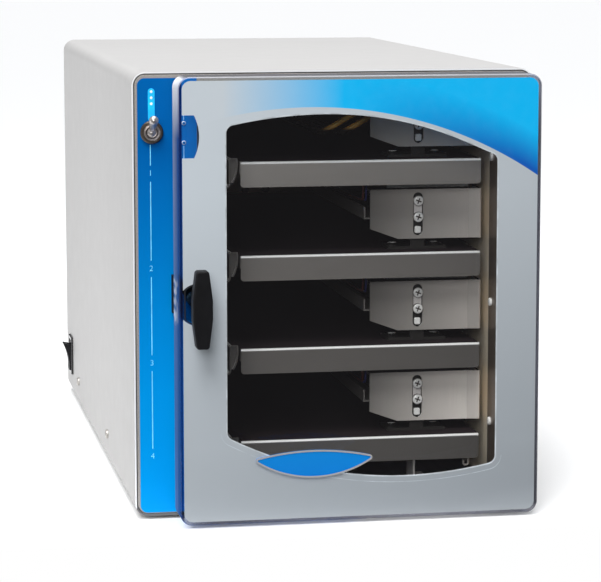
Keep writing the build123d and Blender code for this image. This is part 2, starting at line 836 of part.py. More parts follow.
def bracket_web(low, high):
    """The slotted web with its bent-back end, chamfered at its lower left."""
    body = Pos(0, 0, low) * extrude(bracket_plan(bracket_right), amount=high - low)
    shape = make_face(Polyline(
        (bracket_left, high), (bracket_left, low + bracket_chamfer_h),
        (bracket_left + bracket_chamfer_w, low), (bracket_right + 1, low), (bracket_right + 1, high),
        close=True))
    slot = Pos(upright_x, low + slot_lift + slot_h / 2) * RectangleRounded(slot_w, slot_h, slot_w / 2 - 0.2)
    return body & slab(shape - slot, bracket_front - bracket_lean - 1, bracket_front + bracket_flange + 1)


def bracket_low(top):
    """The lower edge of the bracket that hangs below the sheet whose top is given."""
    return top - shelf_t - bracket_drop


def flange_relief(top):
    """The room that a shelf's side flange needs where a bracket's web rises beside it."""
    return block((riser_right, shelf_right + fit_gap), (bracket_front - 1, shelf_rear),
                 (top - shelf_flange - fit_gap, top))


def shelf_bracket(top):
    """A bracket that folds back and then up, to the underside of its shelf."""
    high = bracket_low(top) + bracket_h
    under = top - shelf_t
    step = (bracket_front, bracket_front + bracket_ledge)
    ledge = block((bracket_left, riser_right), step, (high - bracket_t, high))
    riser = block((riser_left, riser_right), (step[1] - bracket_t, step[1]), (high - bracket_t, under))
    top_flange = block((riser_left, riser_right), (step[1] - bracket_t, step[1] + bracket_hook),
                       (under - bracket_t, under))
    web = bracket_web(bracket_low(top), high) - flange_relief(top)
    return web + ledge + riser + top_flange - foot_screw_holes(top)


def roof_bracket():
    """The bracket that hangs straight from the chamber's roof."""
    web = bracket_web(bracket_low(shelf_tops[0] + shelf_pitch), chamber_top)
    flange = block((bracket_left, riser_right), (bracket_front, bracket_front + bracket_flange),
                   (chamber_top - bracket_t, chamber_top))
    return web + flange


def slot_bottom(top):
    """The lower end of the slot that reaches down over the shelf whose top is given."""
    return bracket_low(top + shelf_pitch) + slot_lift


def link_heights(top):
    low = slot_bottom(top) + link_low
    return (low, low + link_pitch)


def upright(top):
    """A strip that rises behind the bracket above, with its foot folded back on the shelf."""
    high = slot_bottom(top) + slot_h + upright_over
    strip = block((upright_x - upright_w / 2, upright_x + upright_w / 2),
                  (upright_front, upright_front + upright_t), (top, high))
    foot = block((upright_x - foot_w / 2, upright_x + foot_w / 2),
                 (upright_front, upright_front + foot_d), (top, top + upright_t))
    post = strip + foot
    for z in link_heights(top):
        post -= rod_y(upright_x, z, upright_front - 1, upright_front + 2 * upright_t, link_screw_r)
    return post - foot_screw_holes(top)


def foot_screw_places():
    return [(upright_x + side * foot_screw_span / 2, upright_front + foot_screw_back) for side in (-1, 1)]


def foot_screw_holes(top):
    low = top - shelf_t - bracket_t - foot_screw_tail
    return [rod_z(x, y, low, top + upright_t + 1, screw_r) for x, y in foot_screw_places()]


def pan_head(x, y, z):
    """A cross-recessed pan-head screw along Y, its head towards the front."""
    head = rod_y(x, z, y - link_head_t, y, link_head_r)
    head = fillet(head.faces().sort_by(Axis.Y)[0].edges(), 1.6)
    for turn in (0, 90):
        head -= Pos(x, y - link_head_t + 0.6, z) * Rot(Y=turn + cross_turn) * Box(4.6, 2.0, 1.1)
    return head


def link_keys():
    """The flat keys in the slots, one to a bracket, that keep each pair of screws in line."""
    keys = []
    for top in shelf_tops:
        low, high = link_heights(top)
        x = (upright_x - slot_w / 2 + key_in, upright_x + slot_w / 2 - key_in)
        key = rounded(x, (low - key_over, high + key_over), key_over - 0.5)
        key = slab(key, upright_front - key_t, upright_front)
        for z in (low, high):
            key -= rod_y(upright_x, z, upright_front - 2 * key_t, upright_front + 1, link_screw_r)
        keys.append(key)
    return keys


def slot_blocks():
    """The square guide at the foot of each slot, on the upright behind it."""
    blocks = []
    for top in shelf_tops:
        low = slot_bottom(top) + guide_lift
        x = (upright_x - guide_w / 2, upright_x + guide_w / 2)
        guide = slab(rounded(x, (low, low + guide_h), 1.2), bracket_front - 0.4, upright_front)
        blocks.append(chamfer(guide.faces().sort_by(Axis.Y)[0].edges(), 0.5))
    return blocks


def link_screws():
    """Two pan-head screws to a bracket, through the key into the upright."""
    screws = []
    for top in shelf_tops:
        for z in link_heights(top):
            shank = rod_y(upright_x, z, bracket_front, upright_front + upright_t + 2, link_screw_r)
            screws.append(pan_head(upright_x, bracket_front, z) + shank)
    return screws


def foot_screws():
    """The screws that clamp each upright's foot, its shelf and the bracket under it."""
    screws = []
    for top in shelf_tops:
        for x, y in foot_screw_places():
            head = rod_z(x, y, top + upright_t, top + upright_t + screw_head_t, screw_head_r)
            head = fillet(head.faces().sort_by(Axis.Z)[-1].edges(), 1.2)
            tail = top - shelf_t - bracket_t - foot_screw_tail
            screws.append(head + rod_z(x, y, tail, top + upright_t, screw_r))
    return screws


def left_rails():
    """Rolled rails on the chamber's left wall, each hooked over beside its shelf."""
    rails = []
    for top in shelf_tops:
        high = top + rail_over
        foot = top - rail_drop
        tip = (left_rail_x + rail_lip, high)
        line = FilletPolyline((chamber_left, foot - rail_leg), (chamber_left, foot),
                              (left_rail_x, foot), (left_rail_x, high), tip, radius=2)
        nose = ThreePointArc(tip, (tip[0] + 0.2, high - 8), (tip[0] - rail_lip / 2, high - rail_nose))
        section = make_face(offset(line, amount=rail_t, side=Side.RIGHT))
        curl = make_face(offset(nose, amount=rail_t, side=Side.RIGHT))
        cap = make_face(nose + Polyline(nose @ 1, (left_rail_x, high - rail_nose), (left_rail_x, high), tip))
        rail = along_y(section, left_rail_front, shelf_rear)
        rail += along_y(curl, left_rail_front, left_rail_front + rail_curl)
        rails.append(rail + along_y(cap, left_rail_front + cap_in, left_rail_front + cap_in + rail_t))
    return rails


def right_rails():
    """Plain folded rails on the chamber's right wall."""
    rails = []
    for top in shelf_tops:
        section = folded([(chamber_right, top - rail_drop - rail_leg), (chamber_right, top - rail_drop),
                          (right_rail_x, top - rail_drop), (right_rail_x, top - 1)], rail_t, 2.0, Side.LEFT)
        rails.append(along_y(section, right_rail_front, shelf_rear))
    return rails


def shelf_studs():
    """The studs that carry each shelf between its two rails, two to a side."""
    studs = []
    for top in shelf_tops:
        z = top - shelf_flange / 2 - 1
        for y in (shelf_front + 90, shelf_rear - 60):
            studs.append(rod_x(y, z, left_rail_x + rail_t, shelf_left, stud_r))
            studs.append(rod_x(y, z, shelf_right, right_rail_x - rail_t, stud_r))
    return studs


def wall_liner():
    """The narrow liner strip screwed inside the chamber's right wall at its mouth."""
    x = (chamber_right - liner_t, chamber_right)
    y = (front + liner_set_back, front + liner_set_back + liner_depth)
    return block(x, y, (liner_low, liner_top))


def liner_screws():
    screws = []
    for z in liner_screw_z:
        head = rod_x(front + 29, z, chamber_right - liner_t - 1.8, chamber_right - liner_t, 3.2)
        screws.append(fillet(head.faces().sort_by(Axis.X)[0].edges(), 1))
    return screws


def wall_bolts():
    """Six bolt heads on the chamber's back wall, four of them beside its seam."""
    bolts = []
    for x in wall_bolt_x:
        for z in wall_bolt_z:
            head = rod_y(x, z, chamber_back - screw_head_t, chamber_back, screw_head_r)
            bolts.append(fillet(head.faces().sort_by(Axis.Y)[0].edges(), 1.2))
    return bolts


def lead_hook():
    """A small bent-wire hook under the lowest shelf."""
    x, y, z = hook_x, upright_front + 2, shelf_tops[-1] - shelf_t
    path = FilletPolyline((x, y, z), (x, y, z - hook_drop), (x - hook_turn, y, z - hook_drop),
                          (x - hook_turn, y, z - hook_drop + hook_turn), radius=hook_turn / 2.2)
    return sweep(Plane(path @ 0, z_dir=path % 0) * Circle(hook_wire), path=path)


def heater_channels():
    """The angle strips that carry the heaters' leads back from the brackets, one to a bracket."""
    x = bracket_left - channel_out
    y = (upright_front, shelf_rear - channel_short)
    strips = []
    for top in shelf_tops[:-1]:
        z = bracket_low(top) + channel_lift
        wall = block((x, x + channel_t), y, (z, z + channel_h))
        strips.append(wall + block((x, x + channel_w), y, (z, z + channel_t)))
    return strips


def floor_stay():
    """The folded stay between the chamber's floor and the lowest shelf."""
    top = shelf_tops[-1] - shelf_t
    depths = (upright_front, upright_front + stay_depth)
    web = block((stay_x, stay_x + stay_t), depths, (chamber_z, top))
    foot = block((stay_x, stay_x + stay_foot), depths, (chamber_z, chamber_z + stay_t))
    return web + foot


def case_screws():
    """The screws through the sides into the base pan."""
    screws = []
    for y in side_screw_y:
        for side, wall in ((-1, left), (1, right)):
            outer = wall + side * screw_head_t
            head = rod_x(y, side_screw_z, min(wall, outer), max(wall, outer), screw_head_r)
            face = head.faces().sort_by(Axis.X)[0 if side < 0 else -1]
            inner = wall - side * case_screw_length
            shank = rod_x(y, side_screw_z, min(wall, inner), max(wall, inner), screw_r)
            head = fillet(face.edges(), 1.2)
            for turn in (0, 90):
                head -= Pos(outer, y, side_screw_z) * Rot(X=turn + cross_turn) * Box(2.0, 4.2, 1.0)
            screws.append(head + shank)
    return screws


def supply_hoses():
    """Two soft hoses that drop from the roof, slant to the left and run to the rear wall."""
    hoses = []
    for shift in (0.0, hose_gap):
        x = hose_x + shift
        y = front + hose_y
        z = chamber_top - hose_stub - hose_drop
        path = FilletPolyline(
            (x, y, chamber_top),
            (x, y, chamber_top - hose_stub),
            (x - hose_run, y, z),
            (x - hose_run, chamber_back, z),
            radius=hose_bend,
        )
        hoses.append(sweep(Plane(path @ 0, z_dir=path % 0) * Circle(hose_r), path=path))
    return hoses


def pieces():
    """Every node's name with the solid or solids that it holds."""
    nodes = {
        "wrapper": wrapper(),
        "base_pan": base_pan(),
        "feet": feet(),
        "front_frame": front_frame(),
        "front_label": front_label(),
        "chamber": chamber(),
        "rear_panel": rear_panel(),
        "vacuum_port": vacuum_port(),
        "power_inlet": power_inlet(),
        "control_board": control_board(),
        "power_supply": power_supply(),
        "door_gasket": door_gasket(),
        "door_slab": door_slab(),
        "door_print": door_print(),
        "badge": badge(),
        "latch_knob": latch_knob(),
        "latch_shaft": latch_shaft(),
        "latch_bushing": latch_bushing(),
        "latch_cam": latch_cam(),
        "latch_keeper": latch_keeper(),
        "toggle_valve": toggle_valve(),
        "toggle_nut": toggle_nut(),
        "toggle_lever": toggle_lever(),
        "indicator_lamps": indicator_lamps(),
        "switch_housing": switch_housing(),
        "power_rocker": power_rocker(),
        "roof_bracket": roof_bracket(),
        "link_keys": link_keys(),
        "slot_blocks": slot_blocks(),
        "link_screws": link_screws(),
        "foot_screws": foot_screws(),
        "left_rails": left_rails(),
        "right_rails": right_rails(),
        "shelf_studs": shelf_studs(),
        "wall_liner": wall_liner(),
        "liner_screws": liner_screws(),
        "heater_channels": heater_channels(),
        "floor_stay": floor_stay(),
        "lead_hook": lead_hook(),
        "wall_bolts": wall_bolts(),
        "case_screws": case_screws(),
        "supply_hoses": supply_hoses(),
        "heater_pads": heater_pads(),
    }
    for name, z in zip(("upper", "lower"), hinge_z):
        nodes[f"hinge_leaf_{name}"] = fixed_leaf(z)
        nodes[f"door_leaf_{name}"] = moving_leaf(z)
        nodes[f"hinge_pin_{name}"] = hinge_pin(z)
    for number, top in enumerate(shelf_tops, start=1):
        nodes[f"shelf_{number}"] = shelf(top) - foot_screw_holes(top)
        nodes[f"upright_{number}"] = upright(top)
        if number < shelf_count:
            nodes[f"shelf_bracket_{number}"] = shelf_bracket(top)
    return nodes


def main():
    os.makedirs("parts", exist_ok=True)
    for name, made in pieces().items():
        solids = list(made) if isinstance(made, list) else [made]
        whole = Compound(children=solids) if len(solids) > 1 else solids[0]
        export_step(whole, f"parts/{name}.step")


main()
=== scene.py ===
import math

import bmesh
import bpy
from mathutils import Euler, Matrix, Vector


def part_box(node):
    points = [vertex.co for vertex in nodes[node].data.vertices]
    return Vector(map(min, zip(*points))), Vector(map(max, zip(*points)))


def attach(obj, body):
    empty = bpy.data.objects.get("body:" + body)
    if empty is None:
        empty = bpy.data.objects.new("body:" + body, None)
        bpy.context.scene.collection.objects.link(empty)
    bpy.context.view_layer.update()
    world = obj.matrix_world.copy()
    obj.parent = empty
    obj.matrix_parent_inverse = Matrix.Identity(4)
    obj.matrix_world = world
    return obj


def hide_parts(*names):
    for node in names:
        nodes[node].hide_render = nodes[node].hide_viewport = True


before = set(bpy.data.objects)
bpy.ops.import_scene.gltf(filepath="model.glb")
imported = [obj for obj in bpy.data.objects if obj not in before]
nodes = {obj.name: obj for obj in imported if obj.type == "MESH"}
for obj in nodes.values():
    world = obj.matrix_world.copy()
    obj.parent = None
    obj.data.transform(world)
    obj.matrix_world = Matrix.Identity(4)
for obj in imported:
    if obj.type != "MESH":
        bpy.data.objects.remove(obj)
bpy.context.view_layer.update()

# ---- places from the frame -----------------------------------------------------------------------
# Metres, in the CAD's frame: +Z is up, +X is to the right seen from the front, the door faces -Y.
MM = 0.001
LAMP_R = 1.6 * MM
label_low, label_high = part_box("front_label")
print_low, print_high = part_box("door_print")
slab_low, slab_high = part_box("door_slab")
badge_low, badge_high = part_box("badge")
nut_low, nut_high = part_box("toggle_nut")
lamps_low, lamps_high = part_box("indicator_lamps")
case_low, case_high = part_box("wrapper")
chamber_low, chamber_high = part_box("chamber")
shaft_low, shaft_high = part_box("latch_shaft")
port_low, port_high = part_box("vacuum_port")
shelf_low, shelf_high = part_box("shelf_1")
web_low, web_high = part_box("shelf_bracket_1")
screw_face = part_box("link_screws")[0].y
hose_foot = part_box("supply_hoses")[0].z
label_face = label_low.y
print_face = print_low.y
control_x = (nut_low.x + nut_high.x) / 2
lamp_x = (lamps_low.x + lamps_high.x) / 2
lamp_heights = (lamps_high.z - LAMP_R, lamps_low.z + LAMP_R)
latch_x, latch_z = (shaft_low.x + shaft_high.x) / 2, (shaft_low.z + shaft_high.z) / 2


# ---- camera --------------------------------------------------------------------------------------
CAMERA_PLACE = (-0.3678, -2.1909, 0.4414)
CAMERA_TURN = (82.05, 0.03, -10.16)
CAMERA_LENS = 155.74
SENSOR_WIDTH = 36.0
FARTHEST_SEEN = 200.0


def add_camera():
    """A long lens in front of the machine, a little to its left and above it."""
    data = bpy.data.cameras.new("camera")
    data.lens = CAMERA_LENS
    data.sensor_width = SENSOR_WIDTH
    data.clip_end = FARTHEST_SEEN
    camera = bpy.data.objects.new("camera", data)
    camera.location = CAMERA_PLACE
    camera.rotation_euler = Euler([math.radians(turn) for turn in CAMERA_TURN])
    bpy.context.scene.collection.objects.link(camera)
    bpy.context.scene.camera = camera


# ---- material helpers ----------------------------------------------------------------------------
class Look:
    """A material being built: its node tree and its main shader."""

    def __init__(self, name, color, roughness=0.5, metallic=0.0, **settings):
        self.material = bpy.data.materials.new(name)
        self.material.use_nodes = True
        self.tree = self.material.node_tree
        self.shader = self.tree.nodes["Principled BSDF"]
        self.set("Base Color", (*color, 1.0))
        self.set("Roughness", roughness)
        self.set("Metallic", metallic)
        for key, value in settings.items():
            self.set(key.replace("_", " "), value)
        self.place = self.node("ShaderNodeTexCoord").outputs["Object"]

    def set(self, socket, value):
        """Sets one of the main shader's sockets to a number or colour."""
        self.shader.inputs[socket].default_value = value

    def link(self, value, socket):
        """Drives one of the main shader's sockets."""
        self.tree.links.new(value, self.shader.inputs[socket])

    def feed(self, node, socket, value):
        """Links a node's input where the value is a socket, and sets it otherwise."""
        if isinstance(value, bpy.types.NodeSocket):
            self.tree.links.new(value, node.inputs[socket])
        else:
            node.inputs[socket].default_value = value

    def node(self, kind, **inputs):
        """A new node with its inputs fed by name."""
        made = self.tree.nodes.new(kind)
        for key, value in inputs.items():
            self.feed(made, key.replace("_", " "), value)
        return made

    def tone(self):
        """The colour that drives the base colour so far."""
        return self.shader.inputs["Base Color"].links[0].from_socket

    def math(self, operation, a, b=0.0, clamp=False):
        """One arithmetic step."""
        made = self.tree.nodes.new("ShaderNodeMath")
        made.operation = operation
        made.use_clamp = clamp
        self.feed(made, 0, a)
        self.feed(made, 1, b)
        return made.outputs[0]

    def length(self, a, b):
        """The length of a flat vector."""
        squares = [self.math("MULTIPLY", side, side) for side in (a, b)]
        return self.math("SQRT", self.math("ADD", *squares))

    def axis(self, letter):
        """The place along one axis of the body."""
        split = self.node("ShaderNodeSeparateXYZ", Vector=self.place)
        return split.outputs[letter]

    def facing(self, letter):
        """How far a face points along an axis of its body, from -1 to 1."""
        normal = self.node("ShaderNodeTexCoord").outputs["Normal"]
        return self.node("ShaderNodeSeparateXYZ", Vector=normal).outputs[letter]

    def away_from(self, x, z):
        """The distance from a line that runs from front to back."""
        return self.length(self.math("SUBTRACT", self.axis("X"), x),
                           self.math("SUBTRACT", self.axis("Z"), z))

    def ramp(self, value, low, high):
        """0 at low and 1 at high, and straight between them."""
        made = self.tree.nodes.new("ShaderNodeMapRange")
        self.feed(made, "Value", value)
        made.inputs["From Min"].default_value = low
        made.inputs["From Max"].default_value = high
        return made.outputs["Result"]

    def mix(self, share, a, b):
        """A colour between a and b."""
        made = self.tree.nodes.new("ShaderNodeMix")
        made.data_type = "RGBA"
        colour = [s for s in made.inputs if s.type == "RGBA"]
        for socket, value in zip(colour, (a, b)):
            if isinstance(value, bpy.types.NodeSocket):
                self.tree.links.new(value, socket)
            else:
                socket.default_value = (*value, 1.0)
        self.feed(made, 0, share)
        return [s for s in made.outputs if s.type == "RGBA"][0]

    def layered(self, share, under, over):
        """A shader that is partly one and partly another."""
        made = self.node("ShaderNodeMixShader", Fac=share)
        for place, shader in ((1, under), (2, over)):
            self.tree.links.new(shader, made.inputs[place])
        return made.outputs[0]

    def tinted(self, tone, gain):
        """A colour times a grey."""
        made = self.tree.nodes.new("ShaderNodeVectorMath")
        made.operation = "SCALE"
        self.tree.links.new(tone, made.inputs[0])
        made.inputs["Scale"].default_value = gain
        return made.outputs[0]

    def noise(self, scale, detail=2.0, stretch=(1.0, 1.0, 1.0), roughness=0.5):
        """Noise with a feature about every 1/scale metres, drawn out by a small stretch."""
        mapping = self.node("ShaderNodeMapping", Vector=self.place)
        mapping.inputs["Scale"].default_value = stretch
        made = self.node("ShaderNodeTexNoise", Vector=mapping.outputs["Vector"],
                         Scale=scale, Detail=detail)
        made.inputs["Roughness"].default_value = roughness
        return made.outputs["Fac"]

    def vary(self, value, low, high):
        """Drives the roughness with noise, between two numbers."""
        made = self.tree.nodes.new("ShaderNodeMapRange")
        self.feed(made, "Value", value)
        made.inputs["From Min"].default_value = 0.3
        made.inputs["From Max"].default_value = 0.7
        made.inputs["To Min"].default_value = low
        made.inputs["To Max"].default_value = high
        self.link(made.outputs["Result"], "Roughness")

    def bump(self, height, strength, distance):
        """Relief in the surface, from a texture."""
        made = self.node("ShaderNodeBump", Height=height, Strength=strength, Distance=distance)
        self.link(made.outputs["Normal"], "Normal")


def shade(color, factor):
    """A colour made darker or lighter."""
    return tuple(channel * factor for channel in color)


def painted(name, color, roughness, strength, grain=700.0):
    """Powder coat: a fine orange peel and a slow change of tone."""
    look = Look(name, color, roughness)
    cloud = look.noise(9.0, 3.0)
    look.link(look.mix(look.ramp(cloud, 0.35, 0.65), shade(color, 0.985), color), "Base Color")
    look.vary(look.noise(60.0, 2.0), roughness - 0.03, roughness + 0.03)
    look.bump(look.noise(grain, 2.0), strength, 0.0004)
    return look


def brushed(name, color, roughness, along, grain=1500.0, strength=0.10, tone=0.80, metallic=1.0):
    """Rolled or brushed metal with fine lines along one axis; less metallic scatters more light."""
    stretch = {"X": (0.012, 1, 1), "Y": (1, 0.012, 1), "Z": (1, 1, 0.012)}[along]
    look = Look(name, color, roughness, metallic=metallic)
    lines = look.noise(grain, 3.0, stretch, 0.65)
    smear = look.noise(14.0, 3.0, tuple(max(s, 0.15) for s in stretch))
    streak = look.mix(look.ramp(lines, 0.3, 0.7), shade(color, tone), color)
    look.link(look.mix(look.ramp(smear, 0.35, 0.7), streak, shade(color, 0.93)), "Base Color")
    look.vary(lines, roughness - 0.06, roughness + 0.10)
    look.bump(lines, strength, 0.0002)
    return look


def moulded(name, color, roughness, grain=1400.0, strength=0.2, **settings):
    """Plastic, rubber or ink with a fine texture and slightly dusty hollows."""
    look = Look(name, color, roughness, **settings)
    texture = look.noise(grain, 2.0)
    dust = look.ramp(look.noise(120.0, 3.0), 0.35, 0.7)
    look.link(look.mix(dust, color, shade(color, 1.5)), "Base Color")
    look.vary(look.noise(200.0, 2.0), roughness - 0.06, roughness + 0.08)
    look.bump(texture, strength, 0.0003)
    return look


def ink(name, color, roughness=0.4):
    """Printing ink, which is almost smooth."""
    return moulded(name, color, roughness, grain=1500.0, strength=0.05)


def assign(look, *names):
    """Gives CAD nodes a finish."""
    for name in names:
        slots = nodes[name].data.materials
        slots.clear()
        slots.append(look.material)


# ---- colours, linear -----------------------------------------------------------------------------
WHITE_PAINT = (0.54, 0.532, 0.525)
# painted highlight and painted shade on the case's front rim
RIM_HIGHLIGHT = (0.90, 0.90, 0.90)
RIM_SHADE = (0.12, 0.12, 0.12)
STEEL = (0.41, 0.37, 0.335)
# painted shade and painted highlight on the sheet steel
SHEET_SHADE = (0.022, 0.016, 0.017)
SHEET_HIGHLIGHT = (0.95, 0.92, 0.88)
# painted light on the chamber's walls
WALL_PAINTED_LIGHT = (1.0, 0.86, 0.66)
BACK_PAINTED_LIGHT = (0.95, 0.78, 0.64)
LABEL_TOP = (0.0, 0.125, 0.43)
LABEL_LOW = (0.0, 0.315, 0.79)
CYAN = (0.0, 0.50, 0.96)
DEEP_BLUE = (0.0, 0.10, 0.48)
PLATE = (0.40, 0.375, 0.35)
PRINT_LIGHT = (0.58, 0.635, 0.68)
# painted shade on the door film
PRINT_SHADE = (0.26, 0.285, 0.31)
BADGE_BLUE = (0.0, 0.22, 0.72)
BADGE_RIM = (0.46, 0.46, 0.46)
BADGE_LOW = (0.0, 0.20, 0.66)
BADGE_HIGH = (0.0, 0.24, 0.70)
PLATED = (1.0, 0.96, 0.91)
# painted shade in a screw's cross and side
CROSS_SHADE = (0.10, 0.08, 0.07)
# painted shade on the foot screws' heads, and their painted glint
FOOT_SCREW_SHADE = (0.02, 0.018, 0.016)
GLINT = (1.0, 0.97, 0.93)
# painted shade on the hose's low run
HOSE_SHADE = (0.03, 0.02, 0.01)
# painted shade in the port's bore
BORE_SHADE = (0.02, 0.02, 0.02)
LAMP_BLUE = (0.0, 0.10, 0.35)
LAMP_CENTRE = (0.0, 0.14, 0.48)
LAMP_RIM = (0.85, 0.90, 0.95)
# the door slab: what its faces let through, with painted shadow and reflections, and the painted
# highlights and reflections on its edges
CLEAR_TINT = (0.955, 0.97, 0.975)
LATCH_SHADOW_TINT = (0.20, 0.36, 0.44)
LEFT_RIM_REFLECTION = (0.08, 0.12, 0.26)
RIGHT_RIM_REFLECTION = (0.40, 0.40, 0.42)
GLOSS_TINT = (0.97, 0.90, 0.94, 1.0)
EDGE_TINT = (0.50, 0.54, 0.66, 1.0)
SHADOW_TINT = (0.97, 0.98, 0.985, 1.0)
REFLECTION_STREAKS_HIGH = ((0.20, 0.25, 0.42), (0.38, 0.43, 0.58))
REFLECTION_STREAKS_LOW = ((0.05, 0.16, 0.40), (0.17, 0.30, 0.56))
LATCH_HIGHLIGHT = (0.75, 0.80, 0.90)
EDGE_FRONT_REFLECTION = (0.02, 0.07, 0.24)
EDGE_RIGHT_REFLECTION = (0.22, 0.22, 0.23)
EDGE_HIGHLIGHT = (0.98, 0.98, 0.98)
EDGE_HIGHLIGHT_FRONT = (0.70, 0.72, 0.80)
EDGE_ROOF_REFLECTION = (0.20, 0.19, 0.18)


# ---- looks ---------------------------------------------------------------------------------------
# These gains stand in for the photograph's light on the steel.
SHELF_GAINS = (0.96, 0.60, 0.45, 0.37)
SHELF_RIGHT = 0.8           # a shelf's right end over its left
BRACKET_GAINS = {"roof_bracket": 0.8, "shelf_bracket_1": 0.6, "shelf_bracket_2": 0.6,
                 "shelf_bracket_3": 1.0}
BRACKET_LEFT = 0.8
BRACKET_RIGHT = 3.2
SLOT_RISER = 10 * MM        # a bracket's faces this far behind its web's front catch the light
FIELD_X = -25 * MM          # the blue field lies above an arc: its centre, drop and radius
FIELD_DROP = 20 * MM
FIELD_R = 305 * MM
FIELD_BAND = (26 * MM, 2 * MM)
# reaches of the painted shadow round the latch, the painted glint by it and the painted reflections
# along the rims
LATCH_SHADOW_R = (18 * MM, 16.5 * MM)
LATCH_HIGHLIGHT_REACH = (19 * MM, 14 * MM)
RIM_REACH = (3.2 * MM, 2.2 * MM)
# the case's rounded corner, and the widths of the painted highlight on the rim
CASE_CORNER_R = 10 * MM
CASE_RIM = (1.2 * MM, 1.0 * MM)
PORT_BORE_R = (20.0 * MM, 19.6 * MM)


def white_look():
    """White powder coat, with painted shade on the left side that is greyer low down and far back,
    and a painted highlight and painted shade on the front rim.
    """
    look = painted("white_powder_coat", WHITE_PAINT, 0.48, 0.05)
    rim = look.ramp(look.facing("Y"), -0.5, -0.9)
    tone = look.tone()
    # painted shade on the left side, deepest low down and far back
    low = look.ramp(look.axis("Z"), case_high.z - 40 * MM, case_low.z + 60 * MM)
    back = look.ramp(look.axis("Y"), -50 * MM, case_high.y)
    fall = look.math("ADD", look.math("MULTIPLY", low, 0.55), look.math("MULTIPLY", back, 0.3))
    fall = look.math("ADD", fall, 0.15)
    flank_shade = look.math("MULTIPLY", look.ramp(look.facing("X"), -0.5, -0.9), fall)
    tone = look.mix(flank_shade, tone, look.tinted(tone, 0.80))
    # painted highlight on the rim's outer edge, painted shade on the rest of the rim
    dx = look.math("SUBTRACT", look.math("ABSOLUTE", look.axis("X")), case_high.x - CASE_CORNER_R)
    dz = look.math("SUBTRACT", look.axis("Z"), case_high.z - CASE_CORNER_R)
    reach = look.length(look.math("MAXIMUM", dx, 0.0), look.math("MAXIMUM", dz, 0.0))
    outer = look.ramp(reach, *[CASE_CORNER_R - width for width in CASE_RIM])
    look.link(look.mix(rim, tone, look.mix(outer, RIM_SHADE, RIM_HIGHLIGHT)), "Base Color")
    return look


def label_look():
    """The label's printed blue, deep at the top and lighter below, and brighter under the door with
    painted light.
    """
    look = Look("label_blue", LABEL_TOP, 0.4, Specular_IOR_Level=0.05)
    fall = look.ramp(look.axis("Z"), label_high.z - 50 * MM, label_low.z + 90 * MM)
    blue = look.mix(fall, LABEL_TOP, LABEL_LOW)
    # painted light: the blue is brightened under the door
    lit_under_door = look.ramp(look.axis("X"), slab_low.x + 6 * MM, slab_low.x + 9 * MM)
    look.link(look.mix(lit_under_door, blue, look.tinted(blue, 1.3)), "Base Color")
    look.vary(look.noise(150.0, 2.0), 0.28, 0.38)
    look.bump(look.noise(2600.0, 1.0), 0.05, 0.0002)
    return look


def plate_look():
    """A blasted metal plate: warm grey, with a fine dark speckle."""
    look = Look("blasted_plate", PLATE, 0.5, metallic=0.25)
    speckle = look.ramp(look.noise(1500.0, 2.0), 0.50, 0.66)
    look.link(look.mix(speckle, PLATE, shade(PLATE, 0.62)), "Base Color")
    look.vary(look.noise(700.0, 2.0), 0.42, 0.6)
    look.bump(look.noise(1500.0, 2.0), 0.25, 0.0003)
    return look


def print_look():
    """The door film: grey with painted shade that darkens it to the lower right, and a blue field
    above a broad arc.
    """
    look = Look("door_film", PRINT_LIGHT, 0.35, Coat_Weight=0.3, Coat_Roughness=0.12)
    x, z = look.axis("X"), look.axis("Z")
    # painted shade: the grey darkens to the right, lower down and near the foot
    across = look.ramp(x, print_low.x, print_high.x)
    down = look.ramp(z, print_high.z - 80 * MM, print_low.z)
    foot = look.math("MULTIPLY", look.ramp(z, print_low.z + 55 * MM, print_low.z + 10 * MM), 0.16)
    share = look.math("ADD", look.math("MULTIPLY", across, 0.33), look.math("MULTIPLY", down, 0.60))
    share = look.math("ADD", share, foot, clamp=True)
    grey = look.mix(share, PRINT_LIGHT, PRINT_SHADE)
    reach = look.away_from(FIELD_X, print_high.z - FIELD_DROP - FIELD_R)
    above = look.ramp(reach, FIELD_R - 0.15 * MM, FIELD_R + 0.15 * MM)
    band = look.ramp(reach, *[FIELD_R + width for width in FIELD_BAND])
    right = look.ramp(x, print_high.x - 140 * MM, print_high.x - 10 * MM)
    blue = look.mix(look.math("MULTIPLY", band, right), CYAN, DEEP_BLUE)
    fade = look.ramp(x, print_low.x + 30 * MM, print_low.x + 120 * MM)
    field = look.mix(fade, PRINT_LIGHT, blue)
    look.link(look.mix(above, grey, field), "Base Color")
    look.vary(look.noise(140.0, 2.0), 0.30, 0.42)
    look.bump(look.noise(2600.0, 1.0), 0.05, 0.0002)
    return look


def acrylic_face(look, x):
    """The slab's broad faces: clear, but with a painted shadow round the latch and painted dark
    reflections along both sides.
    """
    # painted dark reflections along the sides and a painted shadow round the latch
    left_rim = look.ramp(x, *[slab_low.x + reach for reach in RIM_REACH])
    right_rim = look.ramp(x, *[slab_high.x - reach for reach in RIM_REACH])
    knob_shadow = look.ramp(look.away_from(latch_x, latch_z), *LATCH_SHADOW_R)
    tint = look.mix(knob_shadow, CLEAR_TINT, LATCH_SHADOW_TINT)
    tint = look.mix(right_rim, look.mix(left_rim, tint, LEFT_RIM_REFLECTION), RIGHT_RIM_REFLECTION)
    clear = look.node("ShaderNodeBsdfTransparent", Color=tint)
    gloss = look.node("ShaderNodeBsdfGlossy", Color=GLOSS_TINT, Roughness=0.02)
    fresnel = look.node("ShaderNodeFresnel", IOR=1.49)
    smears = look.ramp(look.noise(22.0, 3.0), 0.3, 0.7)
    smears = look.math("ADD", look.math("MULTIPLY", smears, 0.15), 0.85)
    shine = look.math("MULTIPLY", fresnel.outputs[0], smears)
    return look.layered(shine, clear.outputs[0], gloss.outputs[0])


